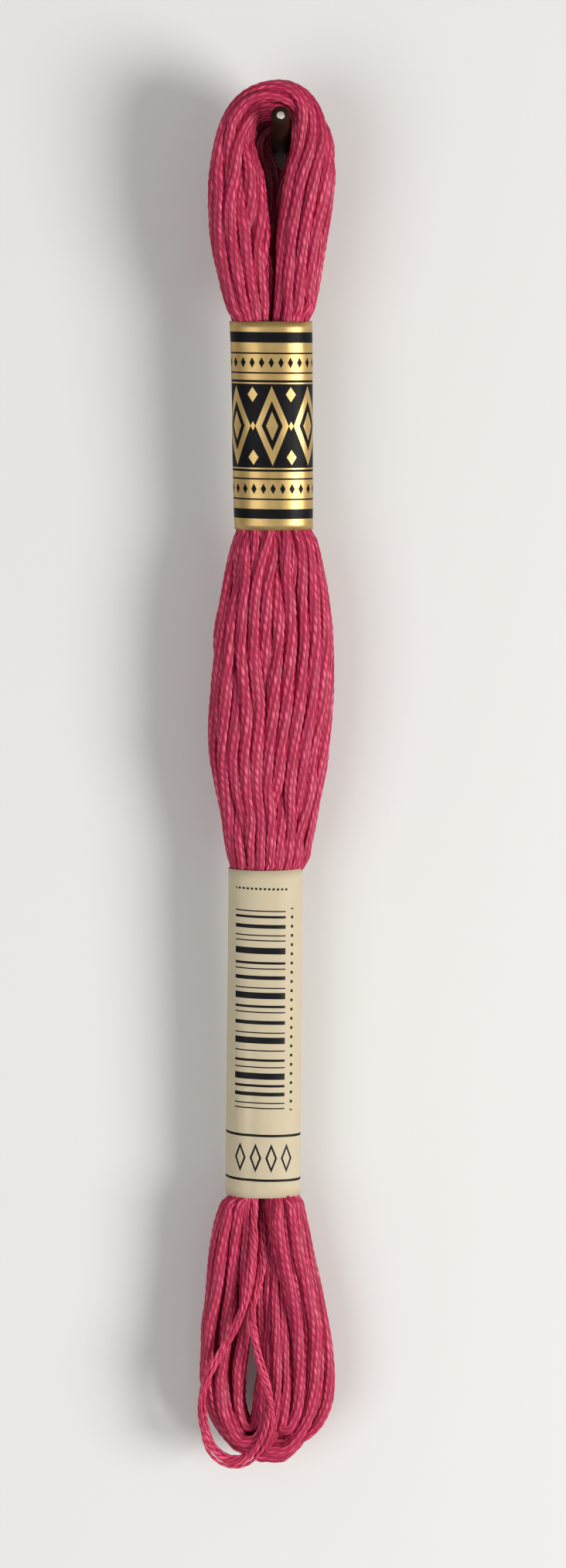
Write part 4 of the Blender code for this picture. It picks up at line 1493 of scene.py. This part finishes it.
# %% Gold paper
GOLD = (0.60, 0.43, 0.19, 1.0)
GOLD_DARK = (0.40, 0.26, 0.085, 1.0)
INK = (0.0045, 0.0045, 0.006, 1.0)
WHITE_BACK = (0.62, 0.58, 0.47, 1.0)
GOLD_STRIPES = [(1.2, 1.25), (3.65, 0.18), (5.95, 0.18), (18.45, 0.18), (20.8, 0.18), (22.05, 1.2)]
PANEL = (6.9, 17.7)
PANEL_MIDDLE = sum(PANEL) / 2
MOTIF_PITCH = 4.6
LARGE_LOZENGE, MIDDLE_LOZENGE, SMALL_LOZENGE = (2.0, 4.7), (1.25, 2.95), (0.72, 1.7)
CORNER_IN, CORNER_LOZENGE, SPOT_LOZENGE = 1.7, (0.62, 0.9), (0.3, 0.55)
LINE_FROM, LINE_TO = 0.28, 0.46
DIAMOND_PITCH, DIAMOND_ROWS, DIAMOND_SIZE = 1.15, (4.85, 19.72), (0.34, 0.62)
gold_material, tree, shader = new_material("gold_foil_paper")
place, across, down = print_spots(tree, 0.010)
rules = stripes(tree, down, BAND_HEIGHTS["upper_band"], GOLD_STRIPES)
near = folded(tree, across, MOTIF_PITCH)
between = folded(tree, across, MOTIF_PITCH, MOTIF_PITCH / 2)
panel = span(tree, down, *PANEL)
gold_on_panel = either_of(
    tree,
    maths(
        tree, "SUBTRACT",
        lozenge(tree, near, down, PANEL_MIDDLE, *LARGE_LOZENGE),
        maths(
            tree, "SUBTRACT",
            lozenge(tree, near, down, PANEL_MIDDLE, *MIDDLE_LOZENGE),
            lozenge(tree, near, down, PANEL_MIDDLE, *SMALL_LOZENGE),
        ),
    ),
    lozenge(tree, between, down, PANEL[0] + CORNER_IN, *CORNER_LOZENGE),
    lozenge(tree, between, down, PANEL[1] - CORNER_IN, *CORNER_LOZENGE),
    lozenge(tree, between, down, PANEL_MIDDLE, *SPOT_LOZENGE),
    span(tree, down, PANEL[0] + LINE_FROM, PANEL[0] + LINE_TO),
    span(tree, down, PANEL[1] - LINE_TO, PANEL[1] - LINE_FROM),
)
small = folded(tree, across, DIAMOND_PITCH)
diamonds = either_of(tree, *[lozenge(tree, small, down, row, *DIAMOND_SIZE) for row in DIAMOND_ROWS])
black = either_of(tree, rules, diamonds, maths(tree, "SUBTRACT", panel, gold_on_panel))
print("the gold stencils have", len(tree.nodes), "nodes")

# %% [markdown]
# The ink lies on the outside of the strip only. There the foil is nearly all metal, a little
# worn in places, and the inside of the strip is the bare pale paper. The grain roughens both,
# and the ink stands up from the foil by almost nothing.

# %% Foil and ink
front = add_node(tree, "ShaderNodeAttribute", attribute_name="inked").outputs["Fac"]
black = maths(tree, "MULTIPLY", black, front)
grain = add_node(tree, "ShaderNodeGroup", node_tree=paper_group)
tree.links.new(place, grain.inputs[0])
foil = mixed(tree, grain.outputs["Wear"], GOLD_DARK, GOLD)
coloured = mixed(tree, black, foil, INK)
coloured = mixed(tree, front, WHITE_BACK, coloured)
tree.links.new(coloured, shader.inputs["Base Color"])
metal = maths(tree, "MULTIPLY", maths(tree, "SUBTRACT", 1.0, black), front)
tree.links.new(maths(tree, "MULTIPLY", metal, 0.92), shader.inputs["Metallic"])
rough = maths(tree, "MULTIPLY_ADD", grain.outputs["Grain"], 0.16, 0.33)
tree.links.new(rough, shader.inputs["Roughness"])
bump = add_node(tree, "ShaderNodeBump", Strength=0.25, Distance=0.00003)
tree.links.new(maths(tree, "MULTIPLY_ADD", black, 0.4, grain.outputs["Grain"]), bump.inputs["Height"])
tree.links.new(bump.outputs[0], shader.inputs["Normal"])
shader.inputs["IOR"].default_value = 1.18
upper_paper.data.materials.append(gold_material)
print("the gold print has", len(tree.nodes), "nodes")

# %% [markdown]
# The lower band is plain cream paper with a ladder of dark bars. Their widths are made up and
# stand for nothing. Below them two rules frame a row of open lozenges, and a dotted line runs
# beside the bars.

# %% Cream paper
CREAM = (0.54, 0.465, 0.325, 1.0)
CREAM_DARK = (0.47, 0.40, 0.27, 1.0)
BAR_LEFT, BAR_RIGHT = -3.65, 2.55
BARS_ABOVE = [
    (4.6, 0.22), (5.3, 0.2), (6.3, 0.45), (7.5, 0.2), (8.2, 0.2), (9.1, 0.8), (10.8, 0.22),
    (11.5, 0.22), (12.5, 0.45), (13.8, 0.2), (14.4, 0.8), (16.0, 0.2),
]
BARS_BELOW = [
    (16.7, 0.2), (17.8, 0.45), (19.1, 0.22), (19.8, 0.8), (21.3, 0.2), (22.3, 0.45), (23.3, 0.2),
    (24.0, 0.8), (25.5, 0.22), (26.3, 0.45), (27.5, 0.2), (28.2, 0.2),
]
CREAM_RULES, RULE_REACH = [(31.4, 0.32), (36.8, 0.24)], 6.0
LOZENGE_ROW, LOZENGE_PITCH, LOZENGE_REACH = 34.3, 1.9, 3.8
LOZENGE_SIZE, LOZENGE_HOLE = (0.72, 1.75), (0.45, 1.15)
DASH_SPAN, DASH_RIGHT, DASH_PITCH, HALF_DASH = (2.05, 2.3), 2.9, 0.52, 0.15
DOT_COLUMN, DOT_SPAN, HALF_DOT_PITCH, HALF_DOT = (3.25, 3.6), (4.4, 28.6), 0.55, 0.17
cream_material, tree, shader = new_material("cream_paper")
place, across, down = print_spots(tree, 0.032)
cream_height = BAND_HEIGHTS["lower_band"]
bars = either_of(tree, *[stripes(tree, down, cream_height, half) for half in (BARS_ABOVE, BARS_BELOW)])
bars = maths(tree, "MULTIPLY", bars, span(tree, across, BAR_LEFT, BAR_RIGHT))
rules = stripes(tree, down, cream_height, CREAM_RULES)
rules = maths(tree, "MULTIPLY", rules, span(tree, across, -RULE_REACH, RULE_REACH))
row = folded(tree, across, LOZENGE_PITCH, LOZENGE_PITCH / 2)
open_lozenges = maths(
    tree, "SUBTRACT",
    lozenge(tree, row, down, LOZENGE_ROW, *LOZENGE_SIZE),
    lozenge(tree, row, down, LOZENGE_ROW, *LOZENGE_HOLE),
)
reach = span(tree, across, -LOZENGE_REACH, LOZENGE_REACH)
open_lozenges = maths(tree, "MULTIPLY", open_lozenges, reach)
dashes = maths(tree, "LESS_THAN", folded(tree, across, DASH_PITCH), HALF_DASH)
dash_line = maths(
    tree, "MULTIPLY", span(tree, down, *DASH_SPAN), span(tree, across, BAR_LEFT, DASH_RIGHT)
)
dashes = maths(tree, "MULTIPLY", dash_line, dashes)
dots = maths(tree, "LESS_THAN", maths(tree, "PINGPONG", down, HALF_DOT_PITCH), HALF_DOT)
dots = maths(tree, "MULTIPLY", dots, span(tree, across, *DOT_COLUMN))
dots = maths(tree, "MULTIPLY", dots, span(tree, down, *DOT_SPAN))
dark = either_of(tree, bars, rules, open_lozenges, dashes, dots)
print("the cream stencils have", len(tree.nodes), "nodes")

# %% [markdown]
# The cream paper is duller than the foil: no metal, a soft sheen, and a stain that is broad
# and faint. It has the same grain, so both bands look as if cut from one stock.

# %% Cream stock and ink
front = add_node(tree, "ShaderNodeAttribute", attribute_name="inked").outputs["Fac"]
dark = maths(tree, "MULTIPLY", dark, front)
grain = add_node(tree, "ShaderNodeGroup", node_tree=paper_group)
tree.links.new(place, grain.inputs[0])
paper = mixed(tree, grain.outputs["Wear"], CREAM_DARK, CREAM)
tree.links.new(mixed(tree, dark, paper, INK), shader.inputs["Base Color"])
rough = maths(tree, "MULTIPLY_ADD", grain.outputs["Grain"], 0.15, 0.42)
tree.links.new(rough, shader.inputs["Roughness"])
bump = add_node(tree, "ShaderNodeBump", Strength=0.2, Distance=0.00003)
tree.links.new(grain.outputs["Grain"], bump.inputs["Height"])
tree.links.new(bump.outputs[0], shader.inputs["Normal"])
shader.inputs["IOR"].default_value = 1.22
lower_paper.data.materials.append(cream_material)
print("the cream print has", len(tree.nodes), "nodes")

# %% [markdown]
# ## The nail
# The nail's shank is dark with rust and old oil. The middle of its domed end is polished metal
# with a painted highlight on it, warm and light at its lower edge and greyer above. The shader
# measures along the nail and away from its axis, so the bright spot stays on the end from every side.

# %% Dark steel with a polished end and a painted highlight
NAIL_LENGTH = 17.0
BRIGHT_RADIUS, BRIGHT_DEPTH, BRIGHT_DROP = 0.46, 0.6, 0.22
RUST_DARK, RUST_PALE = (0.006, 0.003, 0.002, 1.0), (0.035, 0.014, 0.008, 1.0)
PAINTED_GLINT_LOW, PAINTED_GLINT_HIGH = (1.0, 0.92, 0.76, 1.0), (0.40, 0.37, 0.40, 1.0)
nail_material, tree, shader = new_material("rusted_steel")
place = add_node(tree, "ShaderNodeTexCoord").outputs["Object"]


def along_direction(direction):
    """How far a place lies along a direction, in millimetres."""
    made = add_node(tree, "ShaderNodeVectorMath", operation="DOT_PRODUCT")
    tree.links.new(place, made.inputs[0])
    made.inputs[1].default_value = [part / MM for part in direction]
    return made.outputs["Value"]


slope_cos, slope_sin = math.cos(NAIL_SLOPE), math.sin(NAIL_SLOPE)
out_along = along_direction((0.0, -slope_cos, slope_sin))
sideways = along_direction((1.0, 0.0, 0.0))
upwards = maths(tree, "ADD", along_direction((0.0, slope_sin, slope_cos)), BRIGHT_DROP)
sideways_squared = maths(tree, "MULTIPLY", sideways, sideways)
upwards_squared = maths(tree, "MULTIPLY", upwards, upwards)
radius = maths(tree, "SQRT", maths(tree, "ADD", sideways_squared, upwards_squared))
rust = add_node(tree, "ShaderNodeTexNoise", Scale=1400.0, Detail=6.0, Roughness=0.65)
pits = add_node(tree, "ShaderNodeTexNoise", Scale=5200.0, Detail=3.0, Roughness=0.5)
for noise in (rust, pits):
    tree.links.new(place, noise.inputs["Vector"])
ragged = maths(tree, "MULTIPLY_ADD", rust.outputs[0], 0.5, maths(tree, "SUBTRACT", radius, 0.25))
within = maths(tree, "LESS_THAN", ragged, BRIGHT_RADIUS)
at_end = maths(tree, "GREATER_THAN", out_along, NAIL_LENGTH - BRIGHT_DEPTH)
polished_end_and_glint = maths(tree, "MULTIPLY", within, at_end)
shank = mixed(tree, rust.outputs[0], RUST_DARK, RUST_PALE)
# Painted highlight on the polished end: light and warm at its lower edge, greyer above.
painted_glint = mixed(tree, maths(tree, "MULTIPLY_ADD", upwards, 1.2, 0.5), PAINTED_GLINT_LOW, PAINTED_GLINT_HIGH)
tree.links.new(mixed(tree, polished_end_and_glint, shank, painted_glint), shader.inputs["Base Color"])
tree.links.new(maths(tree, "MULTIPLY_ADD", polished_end_and_glint, 0.55, 0.05), shader.inputs["Metallic"])
rough = maths(tree, "MULTIPLY_ADD", rust.outputs[0], 0.25, 0.45)
rough = maths(tree, "MULTIPLY_ADD", polished_end_and_glint, -0.32, rough)
tree.links.new(rough, shader.inputs["Roughness"])
bump = add_node(tree, "ShaderNodeBump", Strength=0.5, Distance=0.00005)
tree.links.new(pits.outputs[0], bump.inputs["Height"])
tree.links.new(bump.outputs[0], shader.inputs["Normal"])
shader.inputs["IOR"].default_value = 1.15
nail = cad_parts["nail"]
nail.data.materials.clear()
nail.data.materials.append(nail_material)
print("the steel of the nail has", len(tree.nodes), "nodes")

# %% [markdown]
# ## The wall
# The skein hangs on a pale wall. The wall shows only its front face, so that the skein can
# also be looked at from behind. The floor is far below the picture and sends a little light
# back up.

# %% Wall and floor
WALL_SIZE = 3.0
FLOOR_Z = -1.1
WALL_COLOUR = (0.69, 0.68, 0.665, 1.0)


def stage_plane(name, corners, material):
    """A flat face that is only there for the picture."""
    mesh = bpy.data.meshes.new(name)
    mesh.from_pydata(corners, [], [range(4)])
    mesh.materials.append(material)
    made = bpy.data.objects.new(name, mesh)
    bpy.context.scene.collection.objects.link(made)
    return made


wall_material, tree, shader = new_material("pale_wall")
shader.inputs["Base Color"].default_value = WALL_COLOUR
shader.inputs["Roughness"].default_value = 0.8
geometry = add_node(tree, "ShaderNodeNewGeometry")
clear = add_node(tree, "ShaderNodeBsdfTransparent")
either = add_node(tree, "ShaderNodeMixShader")
tree.links.new(geometry.outputs["Backfacing"], either.inputs[0])
tree.links.new(shader.outputs[0], either.inputs[1])
tree.links.new(clear.outputs[0], either.inputs[2])
tree.links.new(either.outputs[0], tree.nodes["Material Output"].inputs[0])
half = WALL_SIZE / 2
stage_plane(
    "wall",
    [(-half, 0, -half), (half, 0, -half), (half, 0, half), (-half, 0, half)],
    wall_material,
)
stage_plane(
    "floor",
    [(-half, -half, FLOOR_Z), (half, -half, FLOOR_Z), (half, half, FLOOR_Z), (-half, half, FLOOR_Z)],
    wall_material,
)
print(f"the wall and the floor are {WALL_SIZE} m wide")

# %% [markdown]
# ## The light
# Daylight comes from a near window on the right, below the skein's middle, and gives the soft
# shadow on the left. A wider and weaker lamp on the left fills that shadow in. The world adds
# an even pale light, as a bright room does.

# %% Lamps
from mathutils import Vector

WINDOW_COLOUR, FILL_COLOUR = (1.0, 0.985, 0.96), (0.97, 0.98, 1.0)
ROOM_COLOUR, ROOM_STRENGTH = (1.0, 0.99, 0.98, 1.0), 0.38
SKEIN_MIDDLE = Vector((0.0, -0.010, -0.070))


def soft_lamp(name, direction, distance, size, power, colour):
    """A round lamp that looks at the skein from a direction and a distance in metres."""
    lamp = bpy.data.lights.new(name, "AREA")
    lamp.shape = "DISK"
    lamp.size = size
    lamp.energy = power
    lamp.color = colour
    made = bpy.data.objects.new(name, lamp)
    made.location = SKEIN_MIDDLE + Vector(direction).normalized() * distance
    made.rotation_euler = (SKEIN_MIDDLE - made.location).to_track_quat("-Z", "Y").to_euler()
    made.visible_camera = False
    bpy.context.scene.collection.objects.link(made)
    return made


window_light = soft_lamp("window_light", (0.76, -0.65, -0.14), 0.75, 0.36, 5.5, WINDOW_COLOUR)
fill_light = soft_lamp("fill_light", (-0.50, -0.85, -0.2), 1.0, 0.7, 3.3, FILL_COLOUR)
world = bpy.data.worlds.new("room")
world.use_nodes = True
background = world.node_tree.nodes["Background"]
background.inputs[0].default_value = ROOM_COLOUR
background.inputs[1].default_value = ROOM_STRENGTH
bpy.context.scene.world = world
bpy.context.scene.view_settings.view_transform = "Standard"
for lamp in (window_light, fill_light):
    print(lamp.name, lamp.data.energy, "W,", f"{lamp.data.size:.2f} m wide")

# %% [markdown]
# ## The camera
# The camera stands half a metre off with a long lens, so the sides of the skein look nearly
# parallel, as in the photograph. It looks down by about a degree. The shift then moves the
# picture so that the whole skein fits in.

# %% Camera
CAMERA_X = 0.30
CAMERA_OFF_SKEIN = 520.0
SKEIN_PLANE_Y = -12.0
EYE_Z = -35.0
DOWN = math.radians(1.12)
LENS, SENSOR = 101.25, 36.0
SHIFT = -0.15
camera_data = bpy.data.cameras.new("camera")
camera_data.sensor_width = SENSOR
camera_data.lens = LENS
camera_data.shift_y = SHIFT
camera_data.clip_start, camera_data.clip_end = 0.01, 10.0
camera = bpy.data.objects.new("camera", camera_data)
camera.location = (CAMERA_X * MM, (SKEIN_PLANE_Y - CAMERA_OFF_SKEIN) * MM, EYE_Z * MM)
camera.rotation_euler = (math.radians(90) - DOWN, 0, 0)
bpy.context.scene.collection.objects.link(camera)
bpy.context.scene.camera = camera
print(f"the camera is {CAMERA_OFF_SKEIN / 1000:.2f} m off, with a {LENS:.0f} mm lens")
